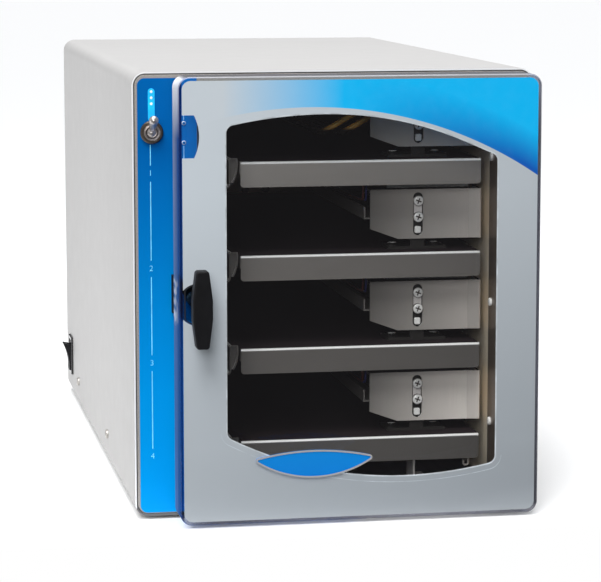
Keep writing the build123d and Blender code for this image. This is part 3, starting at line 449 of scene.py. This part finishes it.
def acrylic_edge(look, x, z):
    """The slab's edges, painted on a diffuse layer: a painted highlight, white near the top, then
    painted reflections, blue on the left and grey on the right, with a painted glint by the latch.
    The one on top is a grey painted reflection."""
    # painted highlights and reflections on the edges, and a painted glint by the latch
    front = look.ramp(look.axis("Y"), slab_high.y - 4 * MM, slab_low.y + 3 * MM)
    share = look.ramp(look.noise(420.0, 2.0, (1.0, 1.0, 0.01)), 0.35, 0.65)
    lower = look.ramp(z, slab_high.z - 45 * MM, slab_high.z - 170 * MM)
    streak = look.mix(lower, look.mix(share, *REFLECTION_STREAKS_HIGH), look.mix(share, *REFLECTION_STREAKS_LOW))
    from_latch = look.math("ABSOLUTE", look.math("SUBTRACT", z, latch_z))
    glint = look.math("MULTIPLY", look.ramp(look.noise(130.0, 1.0, (1.0, 0.6, 1.0)), 0.45, 0.60),
                      look.ramp(from_latch, *LATCH_HIGHLIGHT_REACH))
    streak = look.mix(glint, streak, LATCH_HIGHLIGHT)
    side = look.mix(front, streak, EDGE_FRONT_REFLECTION)
    side = look.mix(look.ramp(x, 0.0, 20 * MM), side, EDGE_RIGHT_REFLECTION)
    fall = look.ramp(z, slab_high.z - 10 * MM, slab_high.z - 45 * MM)
    tone = look.mix(fall, look.mix(front, EDGE_HIGHLIGHT, EDGE_HIGHLIGHT_FRONT), side)
    roof = look.ramp(look.facing("Z"), 0.80, 0.97)
    painted_edge = look.node("ShaderNodeBsdfDiffuse", Color=look.mix(roof, tone, EDGE_ROOF_REFLECTION))
    clear = look.node("ShaderNodeBsdfTransparent", Color=EDGE_TINT)
    cover = look.math("SUBTRACT", 0.80, look.math("MULTIPLY", roof, 0.35))
    return look.layered(cover, clear.outputs[0], painted_edge.outputs[0])


def acrylic_look():
    """Clear cast acrylic: clear broad faces, edges with painted highlights and reflections, and
    almost no shadow behind it.
    """
    look = Look("clear_acrylic", CLEAR_TINT, 0.04)
    x, z = look.axis("X"), look.axis("Z")
    side = look.ramp(look.math("ABSOLUTE", look.facing("Y")), 0.9, 0.5)
    whole = look.layered(side, acrylic_face(look, x), acrylic_edge(look, x, z))
    open_air = look.node("ShaderNodeBsdfTransparent", Color=SHADOW_TINT)
    in_shadow = look.node("ShaderNodeLightPath").outputs["Is Shadow Ray"]
    shadowless = look.layered(in_shadow, whole, open_air.outputs[0])
    look.tree.links.new(shadowless, look.tree.nodes["Material Output"].inputs["Surface"])
    look.tree.nodes.remove(look.shader)
    return look


def badge_look():
    """A grey rim round a blue field that is a little lighter at its top."""
    look = Look("badge", BADGE_BLUE, 0.22, Coat_Weight=0.6, Coat_Roughness=0.05)
    sunk = look.ramp(look.axis("Y"), badge_low.y + 0.1 * MM, badge_low.y + 0.3 * MM)
    tone = look.mix(look.ramp(look.axis("Z"), badge_low.z, badge_high.z), BADGE_LOW, BADGE_HIGH)
    look.link(look.mix(sunk, BADGE_RIM, tone), "Base Color")
    look.link(look.math("MULTIPLY", look.math("SUBTRACT", 1.0, sunk), 0.2), "Metallic")
    look.bump(look.noise(900.0, 2.0), 0.04, 0.0002)
    return look


def chamber_look():
    """The chamber's sheet: dark with painted shade, but with warm painted light on the wall to the
    right and at the left of the back.
    """
    # painted shade: the chamber's steel is made dark
    look = brushed("chamber_steel", shade(STEEL, 0.18), 0.5, "Y", grain=900.0, metallic=0.3)
    tone = look.tone()
    # painted light on the right wall and at the left of the back
    wall = look.ramp(look.axis("X"), chamber_high.x - 12 * MM, chamber_high.x - 8.2 * MM)
    sideways = look.ramp(look.math("ABSOLUTE", look.facing("X")), 0.5, 0.9)
    wall = look.math("MULTIPLY", wall, sideways)
    back = look.ramp(look.facing("Y"), -0.9, -0.98)
    back = look.math("MULTIPLY", back, look.ramp(look.axis("X"), 90 * MM, 0.0))
    tone = look.mix(back, tone, BACK_PAINTED_LIGHT)
    look.link(look.mix(wall, tone, WALL_PAINTED_LIGHT), "Base Color")
    return look


def sheet_steel(name, along, left_gain, right_gain, left_end, right_end, riser_y=None):
    """Brushed sheet with painted light: a mid tone that changes from left to right on upright
    faces, painted shade where they look to the left, near-black painted shade where it looks
    straight up or down, and painted highlights on the bends that look up and on whatever lies
    behind riser_y."""
    look = brushed(name, STEEL, 0.36, along, grain=2600.0, strength=0.04, tone=0.86, metallic=0.35)
    tone = look.tone()
    # painted light: the tone changes from left to right
    across = look.ramp(look.axis("X"), left_end, right_end)
    tone = look.mix(across, look.tinted(tone, left_gain), look.tinted(tone, right_gain))
    if riser_y:
        # painted highlight on whatever lies behind riser_y
        behind = look.ramp(look.axis("Y"), riser_y, riser_y + 1 * MM)
        tone = look.mix(behind, tone, SHEET_HIGHLIGHT)
    rise = look.facing("Z")
    # painted highlight on the bends, painted shade on flat and leftward faces
    bend_highlight = look.math("MULTIPLY", look.ramp(rise, 0.05, 0.4), look.ramp(rise, 0.99, 0.93))
    upright = look.ramp(look.math("ABSOLUTE", rise), 0.99, 0.93)
    look.link(look.math("MULTIPLY", upright, 0.35), "Metallic")
    look.link(look.math("MULTIPLY", upright, 0.5), "Specular IOR Level")
    flat = look.mix(upright, SHEET_SHADE, tone)
    leftward_shade = look.ramp(look.facing("X"), -0.03, -0.06)
    flat = look.mix(leftward_shade, flat, look.tinted(flat, 0.72))
    look.link(look.mix(bend_highlight, flat, SHEET_HIGHLIGHT), "Base Color")
    return look


def upright_look():
    """Steel sheet darkened with painted shade, that hardly shines."""
    look = brushed("upright_steel", shade(STEEL, 0.07), 0.34, "Z", metallic=0.0)
    look.set("Specular IOR Level", 0.15)
    return look


def screw_look():
    """A bright screw head whose deeper parts, its side and its cross, are darkened with painted
    shade.
    """
    look = brushed("link_screw", PLATED, 0.22, "Y", grain=900.0, strength=0.06, tone=0.92,
                   metallic=0.15)
    # painted shade in the deeper parts of the head
    deep = look.ramp(look.axis("Y"), screw_face + 0.3 * MM, screw_face + 1.3 * MM)
    look.link(look.mix(deep, look.tone(), CROSS_SHADE), "Base Color")
    return look


def foot_screw_look():
    """A screw head darkened with painted shade, with a painted glint on the part of its rim that
    looks forward and up.
    """
    look = brushed("foot_screw", FOOT_SCREW_SHADE, 0.3, "X", grain=900.0, strength=0.06, tone=0.9,
                   metallic=0.0)
    look.set("Specular IOR Level", 0.15)
    # painted glint on the rim that looks forward and up
    rise = look.facing("Z")
    up = look.math("MULTIPLY", look.ramp(rise, 0.35, 0.6), look.ramp(rise, 0.99, 0.9))
    glint = look.math("MULTIPLY", up, look.ramp(look.facing("Y"), -0.25, -0.5))
    look.link(look.mix(glint, look.tone(), GLINT), "Base Color")
    return look


def hose_look():
    """Amber tube, darkened with painted shade along its low run to the rear."""
    look = moulded("amber_hose", (1.0, 0.50, 0.08), 0.35)
    # painted shade below this height
    lit = look.ramp(look.axis("Z"), hose_foot + 4 * MM, hose_foot + 7 * MM)
    look.link(look.mix(lit, HOSE_SHADE, look.tone()), "Base Color")
    return look


def port_look():
    """Bright steel outside, with painted shade in the bore."""
    look = brushed("port_steel", (0.60, 0.59, 0.57), 0.25, "Y", grain=800.0, strength=0.05,
                   tone=0.9)
    # painted shade inside the bore's radius
    reach = look.away_from((port_low.x + port_high.x) / 2, (port_low.z + port_high.z) / 2)
    look.link(look.mix(look.ramp(reach, *PORT_BORE_R), look.tone(), BORE_SHADE), "Base Color")
    return look


def lamp_look():
    """A small lens: a pale rim round a deep blue centre."""
    look = Look("lamp_lens", LAMP_BLUE, 0.15)
    z = look.axis("Z")
    away = [look.math("ABSOLUTE", look.math("SUBTRACT", z, spot)) for spot in lamp_heights]
    reach = look.length(look.math("SUBTRACT", look.axis("X"), lamp_x), look.math("MINIMUM", *away))
    rim = look.ramp(reach, 1.05 * MM, 1.15 * MM)
    look.link(look.mix(rim, LAMP_CENTRE, LAMP_RIM), "Base Color")
    look.bump(look.noise(900.0, 2.0), 0.03, 0.0002)
    return look


def board_look():
    """A lacquered circuit board with a faint grid of tracks."""
    look = Look("board", (0.03, 0.20, 0.09), 0.35)
    brick = look.node("ShaderNodeTexBrick", Vector=look.place, Scale=90.0)
    brick.inputs["Color1"].default_value = (0.02, 0.17, 0.07, 1)
    brick.inputs["Color2"].default_value = (0.03, 0.22, 0.10, 1)
    brick.inputs["Mortar"].default_value = (0.10, 0.34, 0.17, 1)
    look.link(brick.outputs["Color"], "Base Color")
    look.bump(brick.outputs["Fac"], 0.1, 0.0002)
    return look


def make_materials():
    """Every CAD node's finish."""
    assign(white_look(), "wrapper", "rear_panel")
    assign(plate_look(), "front_frame")
    assign(label_look(), "front_label")
    assign(print_look(), "door_print")
    assign(acrylic_look(), "door_slab")
    assign(badge_look(), "badge")
    assign(chamber_look(), "chamber")
    for number, gain in enumerate(SHELF_GAINS, 1):
        look = sheet_steel(f"shelf_steel_{number}", "X", gain, SHELF_RIGHT * gain,
                           shelf_low.x, shelf_high.x)
        assign(look, f"shelf_{number}")
    for name, gain in BRACKET_GAINS.items():
        look = sheet_steel(f"{name}_steel", "Z", BRACKET_LEFT * gain, BRACKET_RIGHT * gain,
                           web_low.x, web_high.x, web_low.y + SLOT_RISER)
        assign(look, name)
    assign(upright_look(), *[f"upright_{n}" for n in (1, 2, 3, 4)])
    assign(brushed("channel_steel", shade(STEEL, 0.5), 0.34, "Y", metallic=0.4), "heater_channels")
    assign(brushed("key_steel", (0.85, 0.78, 0.74), 0.30, "Z", metallic=0.0),
           "floor_stay", "link_keys")
    assign(sheet_steel("rail_steel", "Y", 0.45, 0.3, chamber_low.x, chamber_high.x),
           "left_rails", "right_rails")
    assign(brushed("liner_steel", (0.22, 0.17, 0.13), 0.32, "Z", metallic=0.6), "wall_liner")
    assign(brushed("zinc_sheet", (0.52, 0.53, 0.54), 0.4, "Y", grain=500.0),
           "base_pan", "power_supply")
    assign(port_look(), "vacuum_port")
    hinges = [f"{kind}_{end}" for kind in ("hinge_leaf", "door_leaf", "hinge_pin")
              for end in ("upper", "lower")]
    assign(brushed("bright_steel", (0.70, 0.69, 0.67), 0.16, "Y", grain=800.0, strength=0.05,
                   tone=0.9), "latch_shaft", "shelf_studs", *hinges)
    assign(brushed("satin_steel", (0.62, 0.58, 0.56), 0.34, "Y", grain=900.0, strength=0.05,
                   tone=0.9), "toggle_lever", "toggle_valve")
    assign(brushed("dress_nut", (0.13, 0.105, 0.085), 0.36, "Y", grain=900.0), "toggle_nut")
    assign(brushed("plated_screw", PLATED, 0.25, "Y", grain=900.0, strength=0.06, tone=0.9,
                   metallic=0.0), "liner_screws", "slot_blocks")
    assign(screw_look(), "link_screws")
    assign(foot_screw_look(), "foot_screws")
    assign(brushed("case_screw", (0.50, 0.48, 0.45), 0.3, "X", grain=900.0, strength=0.06,
                   tone=0.88, metallic=0.8), "case_screws")
    assign(brushed("wire_steel", (0.75, 0.70, 0.66), 0.3, "Z", grain=900.0, metallic=0.2),
           "lead_hook")
    assign(brushed("dark_bolt", (0.10, 0.09, 0.08), 0.35, "Y", grain=900.0), "wall_bolts")
    assign(moulded("black_moulding", (0.0035, 0.0035, 0.0045), 0.5, Specular_IOR_Level=0.2),
           "latch_knob", "latch_bushing", "latch_keeper", "latch_cam", "power_inlet")
    assign(moulded("switch_gloss", (0.010, 0.010, 0.011), 0.16, grain=500.0, strength=0.05),
           "switch_housing", "power_rocker")
    assign(moulded("seal_rubber", (0.02, 0.02, 0.022), 0.6), "door_gasket")
    assign(moulded("foot_rubber", (0.02, 0.02, 0.02), 0.7), "feet")
    assign(moulded("silicone_mat", (0.22, 0.06, 0.03), 0.6, grain=400.0), "heater_pads")
    assign(hose_look(), "supply_hoses")
    assign(lamp_look(), "indicator_lamps")
    assign(board_look(), "control_board")


# ---- piece helpers -------------------------------------------------------------------------------
INK = 0.05 * MM             # how far a printed mark stands out


def new_mesh(name, shape):
    """The mesh of a finished bmesh, with its faces turned outward."""
    bmesh.ops.recalc_face_normals(shape, faces=shape.faces)
    mesh = bpy.data.meshes.new(name)
    shape.to_mesh(mesh)
    shape.free()
    return mesh


def new_piece(name, mesh, material):
    """An object in the scene with one material."""
    mesh.materials.append(material)
    piece = bpy.data.objects.new(name, mesh)
    bpy.context.scene.collection.objects.link(piece)
    return piece


def flat_piece(name, outline, face, body, look):
    """A thin printed shape: an outline in X and Z, laid on a front face."""
    shape = bmesh.new()
    back = [shape.verts.new((x, face, z)) for x, z in outline]
    fore = [shape.verts.new((x, face - INK, z)) for x, z in outline]
    shape.faces.new(back[::-1])
    shape.faces.new(fore)
    count = len(outline)
    for i in range(count):
        shape.faces.new((fore[i], back[i], back[(i + 1) % count], fore[(i + 1) % count]))
    piece = new_piece(name, new_mesh(name, shape), look.material)
    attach(piece, body)


def flat_band(name, inner, outer, face, body, look, closed=True):
    """A thin printed band between two lines of equal length, laid on a front face."""
    shape = bmesh.new()
    rows = [[shape.verts.new((x, y, z)) for x, z in line]
            for line in (inner, outer) for y in (face, face - INK)]
    count = len(inner)
    for i in range(count if closed else count - 1):
        j = (i + 1) % count
        for a, b in ((0, 2), (1, 3), (0, 1), (2, 3)):
            shape.faces.new((rows[a][i], rows[b][i], rows[b][j], rows[a][j]))
    piece = new_piece(name, new_mesh(name, shape), look.material)
    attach(piece, body)


def bar(x, low, high, width):
    """An upright rectangle's outline."""
    left, right = x - width / 2, x + width / 2
    return [(left, low), (right, low), (right, high), (left, high)]


def disc(x, z, radius, count=32):
    """A circle's outline."""
    turns = [2 * math.pi * i / count for i in range(count)]
    return [(x + radius * math.cos(t), z + radius * math.sin(t)) for t in turns]


def pill(x, low, high, radius, count=12):
    """The outline of an upright bar with round ends."""
    turns = [math.pi * i / count for i in range(count + 1)]
    top = [(x + radius * math.cos(t), high - radius + radius * math.sin(t)) for t in turns]
    end = [(x - radius * math.cos(t), low + radius - radius * math.sin(t)) for t in turns]
    return top + end


def front_loops(node):
    """The closed lines, in X and Z, that bound a node's front face."""
    piece = nodes[node]
    points = [piece.matrix_world @ v.co for v in piece.data.vertices]
    face_y = min(p.y for p in points)
    edges = {}              # keeps the order in which the edges are met
    for polygon in piece.data.polygons:
        if all(points[i].y < face_y + 0.01 * MM for i in polygon.vertices):
            ends = list(polygon.vertices)
            for pair in zip(ends, ends[1:] + ends[:1]):
                key = tuple((round(points[i].x, 6), round(points[i].z, 6)) for i in pair)
                edges[key] = True
    following = {a: b for (a, b) in edges if (b, a) not in edges}
    loops = []
    while following:
        start, spot = following.popitem()
        loop = [start]
        while spot != start and spot in following:
            loop.append(spot)
            spot = following.pop(spot)
        loops.append(loop)
    return loops


def grown(loop, distance):
    """A closed line moved sideways: outward if it turns clockwise and distance is positive."""
    moved = []
    count = len(loop)
    for i in range(count):
        before, here, after = (Vector(loop[(i + k) % count]) for k in (-1, 0, 1))
        ways = [(b - a).normalized() for a, b in ((before, here), (here, after))]
        normals = [Vector((-w.y, w.x)) for w in ways]
        middle = (normals[0] + normals[1]).normalized()
        reach = distance / max(middle.dot(normals[0]), 0.5)
        moved.append(tuple(here + middle * reach))
    return moved


def turning(loop):
    """The signed area that a closed line goes round: positive when it turns anticlockwise."""
    return sum(a[0] * b[1] - b[0] * a[1] for a, b in zip(loop, loop[1:] + loop[:1])) / 2


# ---- printed marks -------------------------------------------------------------------------------
# Heights on the label are in millimetres above its foot, which is this far below the label's edge.
LABEL_MARGIN = 2.8 * MM
MARKS_ASIDE = 1 * MM                # the line and its numerals stand this far left of the valve
NUMERAL_HEIGHTS = (259.2, 188.0, 116.8, 46.0)
LINE_SPANS = ((264.8, 280.3), (194.0, 252.9), (122.8, 181.6), (51.7, 110.7))
DOT_HEIGHTS = (319.5, 315.0, 310.6)
COLUMN_SPAN = (297.5, 322)
LAMP_LINE_ENDS = {"upper": (2.4, 9.0), "lower": (-2.4, -12.0)}      # from the lamp's centre
NUMERAL_SIZE = 4.3 * MM
TYPE_SIZE = 1.4                             # the type size that gives a numeral a height of 1
NUMERAL_THINNING = -0.07 * MM
LINE_WIDTH = 0.6 * MM
LAMP_LINE_WIDTH = 0.5 * MM
COLUMN_R = 2.5 * MM
DOT_R = 1.0 * MM
WINDOW_LINE_WIDTH = 1.0 * MM
SECOND_LINE = (4.7 * MM, 5.1 * MM)          # its two sides' distances from the window
SECOND_LINE_TOP = 68 * MM                   # above the film's lower edge
WINDOW_CLEAR = 10 * MM                      # the window's own edge is further in than this
LATCH_BAY_R = 15.4 * MM
LATCH_LINE_WIDTH = 0.9 * MM
LATCH_LINE_START = math.radians(92)
LATCH_LINE_STEPS = 12


def numeral(text, x, z, height, face, look, body):
    """A plain printed number, as a thin mesh."""
    curve = bpy.data.curves.new(f"numeral_{text}", "FONT")
    curve.body = text
    curve.align_x = "CENTER"
    curve.align_y = "CENTER"
    curve.size = height * TYPE_SIZE
    curve.extrude = INK
    curve.offset = NUMERAL_THINNING
    holder = bpy.data.objects.new("holder", curve)
    bpy.context.scene.collection.objects.link(holder)
    bpy.context.view_layer.update()
    settled = holder.evaluated_get(bpy.context.evaluated_depsgraph_get())
    mesh = bpy.data.meshes.new_from_object(settled)
    bpy.data.objects.remove(holder)
    mesh.transform(Euler((math.radians(90), 0, 0)).to_matrix().to_4x4())
    mesh.name = f"numeral_{text}"
    mesh.materials.clear()
    piece = new_piece(f"numeral_{text}", mesh, look.material)
    piece.location = (x, face, z)
    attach(piece, body)


def label_marks():
    """The label's line with its shelf numbers, the three position dots and the two lamp lines."""
    white = ink("white_ink", (0.82, 0.86, 0.90))
    sky = ink("sky_ink", (0.20, 0.74, 0.98))
    light = ink("light_ink", (0.30, 0.60, 0.92))
    cyan = ink("cyan_ink", (0.0, 0.50, 0.95))
    foot = label_low.z - LABEL_MARGIN
    for i, (low, high) in enumerate(LINE_SPANS):
        outline = bar(control_x - MARKS_ASIDE, foot + low * MM, foot + high * MM, LINE_WIDTH)
        flat_piece(f"label_line_{i + 1}", outline, label_face, "cabinet", sky)
    for i, height in enumerate(NUMERAL_HEIGHTS):
        numeral(str(i + 1), control_x - MARKS_ASIDE, foot + height * MM, NUMERAL_SIZE, label_face,
                sky, "cabinet")
    column = pill(control_x, *[foot + height * MM for height in COLUMN_SPAN], COLUMN_R)
    flat_piece("dot_column", column, label_face, "cabinet", cyan)
    for i, height in enumerate(DOT_HEIGHTS):
        flat_piece(f"position_dot_{i + 1}", disc(control_x, foot + height * MM, DOT_R),
                   label_face - INK, "cabinet", white)
    for z, (name, ends) in zip(lamp_heights, LAMP_LINE_ENDS.items()):
        low, high = sorted(z + end * MM for end in ends)
        outline = bar(lamp_x, low, high, LAMP_LINE_WIDTH)
        flat_piece(f"lamp_line_{name}", outline, label_face, "cabinet", light)


def door_marks():
    """The pale line round the window and the faint second line below it."""
    pale = ink("pale_ink", (0.43, 0.465, 0.49))
    faint = ink("faint_ink", (0.38, 0.42, 0.45))
    inside = [loop for loop in front_loops("door_print")
              if min(z for _, z in loop) > print_low.z + WINDOW_CLEAR
              and max(x for x, _ in loop) < print_high.x - WINDOW_CLEAR]
    edge = max(inside, key=lambda loop: abs(turning(loop)))
    edge = edge if turning(edge) < 0 else edge[::-1]
    flat_band("window_line", edge, grown(edge, WINDOW_LINE_WIDTH), print_face, "door", pale)
    inner, outer = (grown(edge, distance) for distance in SECOND_LINE)
    low = [i for i, (_, z) in enumerate(edge) if z < print_low.z + SECOND_LINE_TOP]
    start = next(i for i in low if (i - 1) % len(edge) not in low)
    order = [(start + k) % len(edge) for k in range(len(low))]
    flat_band("second_line", [inner[i] for i in order], [outer[i] for i in order],
              print_face, "door", faint, closed=False)


def latch_outline():
    """A dark line of painted shadow round the latch's bay in the door film: an arc and its mirror
    image below.
    """
    # painted shadow along the edge of the latch's bay
    black = ink("latch_shadow_ink", (0.004, 0.004, 0.006), roughness=0.5)
    end = math.acos((print_low.x + LATCH_LINE_WIDTH - latch_x) / LATCH_BAY_R)
    turns = [LATCH_LINE_START + (end - LATCH_LINE_START) * k / LATCH_LINE_STEPS
             for k in range(LATCH_LINE_STEPS + 1)]
    arc = [(latch_x + LATCH_BAY_R * math.cos(t), latch_z + LATCH_BAY_R * math.sin(t))
           for t in turns]
    line = arc + [(x, 2 * latch_z - z) for x, z in reversed(arc)]
    flat_band("latch_outline", line, grown(line, LATCH_LINE_WIDTH), print_face, "door", black,
              closed=False)


# ---- switch rocker -------------------------------------------------------------------------------
ROCKER_INSET = 2 * MM               # from the side panel in to the pivot
ROCKER_TIP = 8.4 * MM               # from the pivot out to the tips
ROCKER_VALLEY = 6.4 * MM            # from the pivot out to the middle of the hollow
ROCKER_DEPTH = 6 * MM               # from the pivot in to the back
ROCKER_HALF = 13.4 * MM             # half its height
ROCKER_SIDE = 8 * MM                # half its width
ROCKER_TILT = math.radians(-12)
ROCKER_STEPS = 8                    # over half of the hollow
ROCKER_ROUND = 0.8 * MM
ROCKER_CORNER = (15 * MM, 0.9)      # edges longer than this, at more than this angle, are rounded


def rocker():
    """The power switch's rocker, with a shallow hollow between two tips that stand proud."""
    low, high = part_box("switch_housing")
    pivot = Vector((case_low.x + ROCKER_INSET, (low.y + high.y) / 2, (low.z + high.z) / 2))
    steps = [k / ROCKER_STEPS for k in range(-ROCKER_STEPS, ROCKER_STEPS + 1)]
    rise = ROCKER_TIP - ROCKER_VALLEY
    profile = [(-(ROCKER_VALLEY + rise * k * k), ROCKER_HALF * k) for k in steps]
    profile += [(ROCKER_DEPTH, ROCKER_HALF * 0.5), (ROCKER_DEPTH, -ROCKER_HALF * 0.5)]
    cos, sin = math.cos(ROCKER_TILT), math.sin(ROCKER_TILT)
    turned = [(x * cos + z * sin, z * cos - x * sin) for x, z in profile]
    shape = bmesh.new()
    sides = [[shape.verts.new(pivot + Vector((x, y, z))) for x, z in turned]
             for y in (-ROCKER_SIDE, ROCKER_SIDE)]
    shape.faces.new(sides[0])
    shape.faces.new(sides[1][::-1])
    count = len(turned)
    for i in range(count):
        j = (i + 1) % count
        shape.faces.new((sides[0][j], sides[0][i], sides[1][i], sides[1][j]))
    bmesh.ops.recalc_face_normals(shape, faces=shape.faces)
    length, angle = ROCKER_CORNER
    corners = [edge for edge in shape.edges
               if edge.calc_length() > length and edge.calc_face_angle(0) > angle]
    bmesh.ops.bevel(shape, geom=corners, offset=ROCKER_ROUND, segments=3, affect="EDGES")
    piece = new_piece("rocker", new_mesh("rocker", shape), nodes["latch_knob"].data.materials[0])
    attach(piece, "rocker")
    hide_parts("power_rocker")


# ---- wires ---------------------------------------------------------------------------------------
LEAD_R = 0.8 * MM
LEAD_SHIFT = 0.8 * MM               # sideways, at the turn to the rear
LEAD_TURN = (9 * MM, 5 * MM)        # the turn's length rearward and its height
LEAD_FOOT = 27 * MM                 # the channel's ledge, above the bracket's foot
LEAD_BELOW_SHELF = 3 * MM
LEAD_END = 20 * MM                  # short of the channel's rear end
BLUE_PLACE = (1.4, 10)              # millimetres to the left of the bracket's corner, and behind it
RED_PLACE = (3.0, 14)


def tube(name, points, radius, body, look, sides=8):
    """A round wire through points, its corners eased by repeated corner cutting."""
    line = [Vector(p) for p in points]
    for _ in range(3):
        eased = [line[0]]
        for a, b in zip(line, line[1:]):
            eased += [a.lerp(b, 0.25), a.lerp(b, 0.75)]
        line = eased + [line[-1]]
    turns = [2 * math.pi * k / sides for k in range(sides)]
    shape = bmesh.new()
    rings = []
    for i, spot in enumerate(line):
        way = (line[min(i + 1, len(line) - 1)] - line[max(i - 1, 0)]).normalized()
        side = way.cross(Vector((1, 0.2, 0.1))).normalized()
        up = way.cross(side)
        rings.append([shape.verts.new(spot + radius * (math.cos(t) * side + math.sin(t) * up))
                      for t in turns])
    for a, b in zip(rings, rings[1:]):
        for k in range(sides):
            face = shape.faces.new((a[k], a[(k + 1) % sides], b[(k + 1) % sides], b[k]))
            face.smooth = True
    shape.faces.new(rings[0])
    shape.faces.new(rings[-1][::-1])
    piece = new_piece(name, new_mesh(name, shape), look.material)
    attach(piece, body)


def heater_leads():
    """Two leads to a shelf: down at the bracket's left end, then back along the channel."""
    blue = moulded("lead_blue", (0.012, 0.014, 0.10), 0.4, grain=800.0, strength=0.05)
    red = moulded("lead_red", (0.10, 0.02, 0.012), 0.4, grain=800.0, strength=0.05)
    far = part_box("heater_channels")[1].y - LEAD_END
    for number in (1, 2, 3):
        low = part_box(f"shelf_bracket_{number}")[0]
        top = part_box(f"shelf_{number}")[1].z - LEAD_BELOW_SHELF
        ledge = low.z + LEAD_FOOT
        for look, (out, back) in ((blue, BLUE_PLACE), (red, RED_PLACE)):
            x, y = low.x - out * MM, low.y + back * MM
            aside = x + LEAD_SHIFT
            points = [(x, y, top), (x, y, ledge + LEAD_TURN[1]), (aside, y + LEAD_TURN[0], ledge),
                      (aside, far, ledge)]
            tube(f"heater_lead_{number}_{back}", points, LEAD_R, "cabinet", look)


# ---- stage ---------------------------------------------------------------------------------------
FLOOR_SIDE = 60
FLOOR_FRONT = -0.36                 # just in front of the machine, so the door doesn't mirror it
FLOOR_REAR = 90


def add_stage():
    """A pale floor that runs far back behind the machine and ends just in front of it."""
    mesh = bpy.data.meshes.new("floor")
    corners = [(-FLOOR_SIDE, FLOOR_FRONT, 0), (FLOOR_SIDE, FLOOR_FRONT, 0),
               (FLOOR_SIDE, FLOOR_REAR, 0), (-FLOOR_SIDE, FLOOR_REAR, 0)]
    mesh.from_pydata(corners, [], [(0, 1, 2, 3)])
    look = Look("pale_floor", (0.97, 0.97, 0.97), 0.8, Specular_IOR_Level=0.1)
    floor = new_piece("floor", mesh, look.material)


def add_sun(name, towards, strength, spread):
    """A broad, even light from far off."""
    data = bpy.data.lights.new(name, "SUN")
    data.energy = strength
    data.angle = math.radians(spread)
    light = bpy.data.objects.new(name, data)
    light.rotation_euler = (-Vector(towards)).to_track_quat("-Z", "Y").to_euler()
    bpy.context.scene.collection.objects.link(light)


def add_light(name, place, aim, size, power):
    """A soft rectangular light."""
    data = bpy.data.lights.new(name, "AREA")
    data.shape = "RECTANGLE"
    data.size, data.size_y = size
    data.energy = power
    light = bpy.data.objects.new(name, data)
    light.location = place
    light.rotation_euler = (Vector(aim) - Vector(place)).to_track_quat("-Z", "Y").to_euler()
    bpy.context.scene.collection.objects.link(light)


def add_world():
    """White to the camera; for light, pale above and to the sides, and dark towards the front and
    straight to the rear."""
    world = bpy.data.worlds.new("studio")
    world.use_nodes = True
    tree = world.node_tree
    place = tree.nodes.new("ShaderNodeTexCoord")
    split = tree.nodes.new("ShaderNodeSeparateXYZ")
    tree.links.new(place.outputs["Generated"], split.inputs[0])

    def graded(low, high, at_low, at_high):
        """A strength that changes with how far the light comes from the rear."""
        made = tree.nodes.new("ShaderNodeMapRange")
        tree.links.new(split.outputs["Y"], made.inputs["Value"])
        limits = {"From Min": low, "From Max": high, "To Min": at_low, "To Max": at_high}
        for key, value in limits.items():
            made.inputs[key].default_value = value
        return made.outputs["Result"]

    strength = tree.nodes.new("ShaderNodeMath")
    strength.operation = "MULTIPLY"
    tree.links.new(graded(-0.85, 0.1, 0.12, 0.62), strength.inputs[0])
    tree.links.new(graded(0.78, 0.90, 1.0, 0.03), strength.inputs[1])
    soft = tree.nodes["Background"]
    soft.inputs["Color"].default_value = (0.95, 0.97, 1.0, 1)
    tree.links.new(strength.outputs[0], soft.inputs["Strength"])
    white = tree.nodes.new("ShaderNodeBackground")
    white.inputs["Color"].default_value = (1, 1, 1, 1)
    white.inputs["Strength"].default_value = 1.0
    path = tree.nodes.new("ShaderNodeLightPath")
    mixer = tree.nodes.new("ShaderNodeMixShader")
    tree.links.new(path.outputs["Is Camera Ray"], mixer.inputs["Fac"])
    tree.links.new(soft.outputs[0], mixer.inputs[1])
    tree.links.new(white.outputs[0], mixer.inputs[2])
    tree.links.new(mixer.outputs[0], tree.nodes["World Output"].inputs["Surface"])
    bpy.context.scene.world = world
    bpy.context.scene.view_settings.view_transform = "Standard"


add_camera()
make_materials()
label_marks()
door_marks()
latch_outline()
heater_leads()
rocker()
add_stage()
add_sun("high", (-0.30, -0.60, 0.95), strength=2.3, spread=32)
add_light("fill", (-0.75, -2.6, 1.0), aim=(0, -0.3, 0.15), size=(0.9, 0.9), power=21)
add_light("top", (-0.1, -0.1, 2.0), aim=(0, -0.1, 0.2), size=(1.6, 1.2), power=20)
add_world()
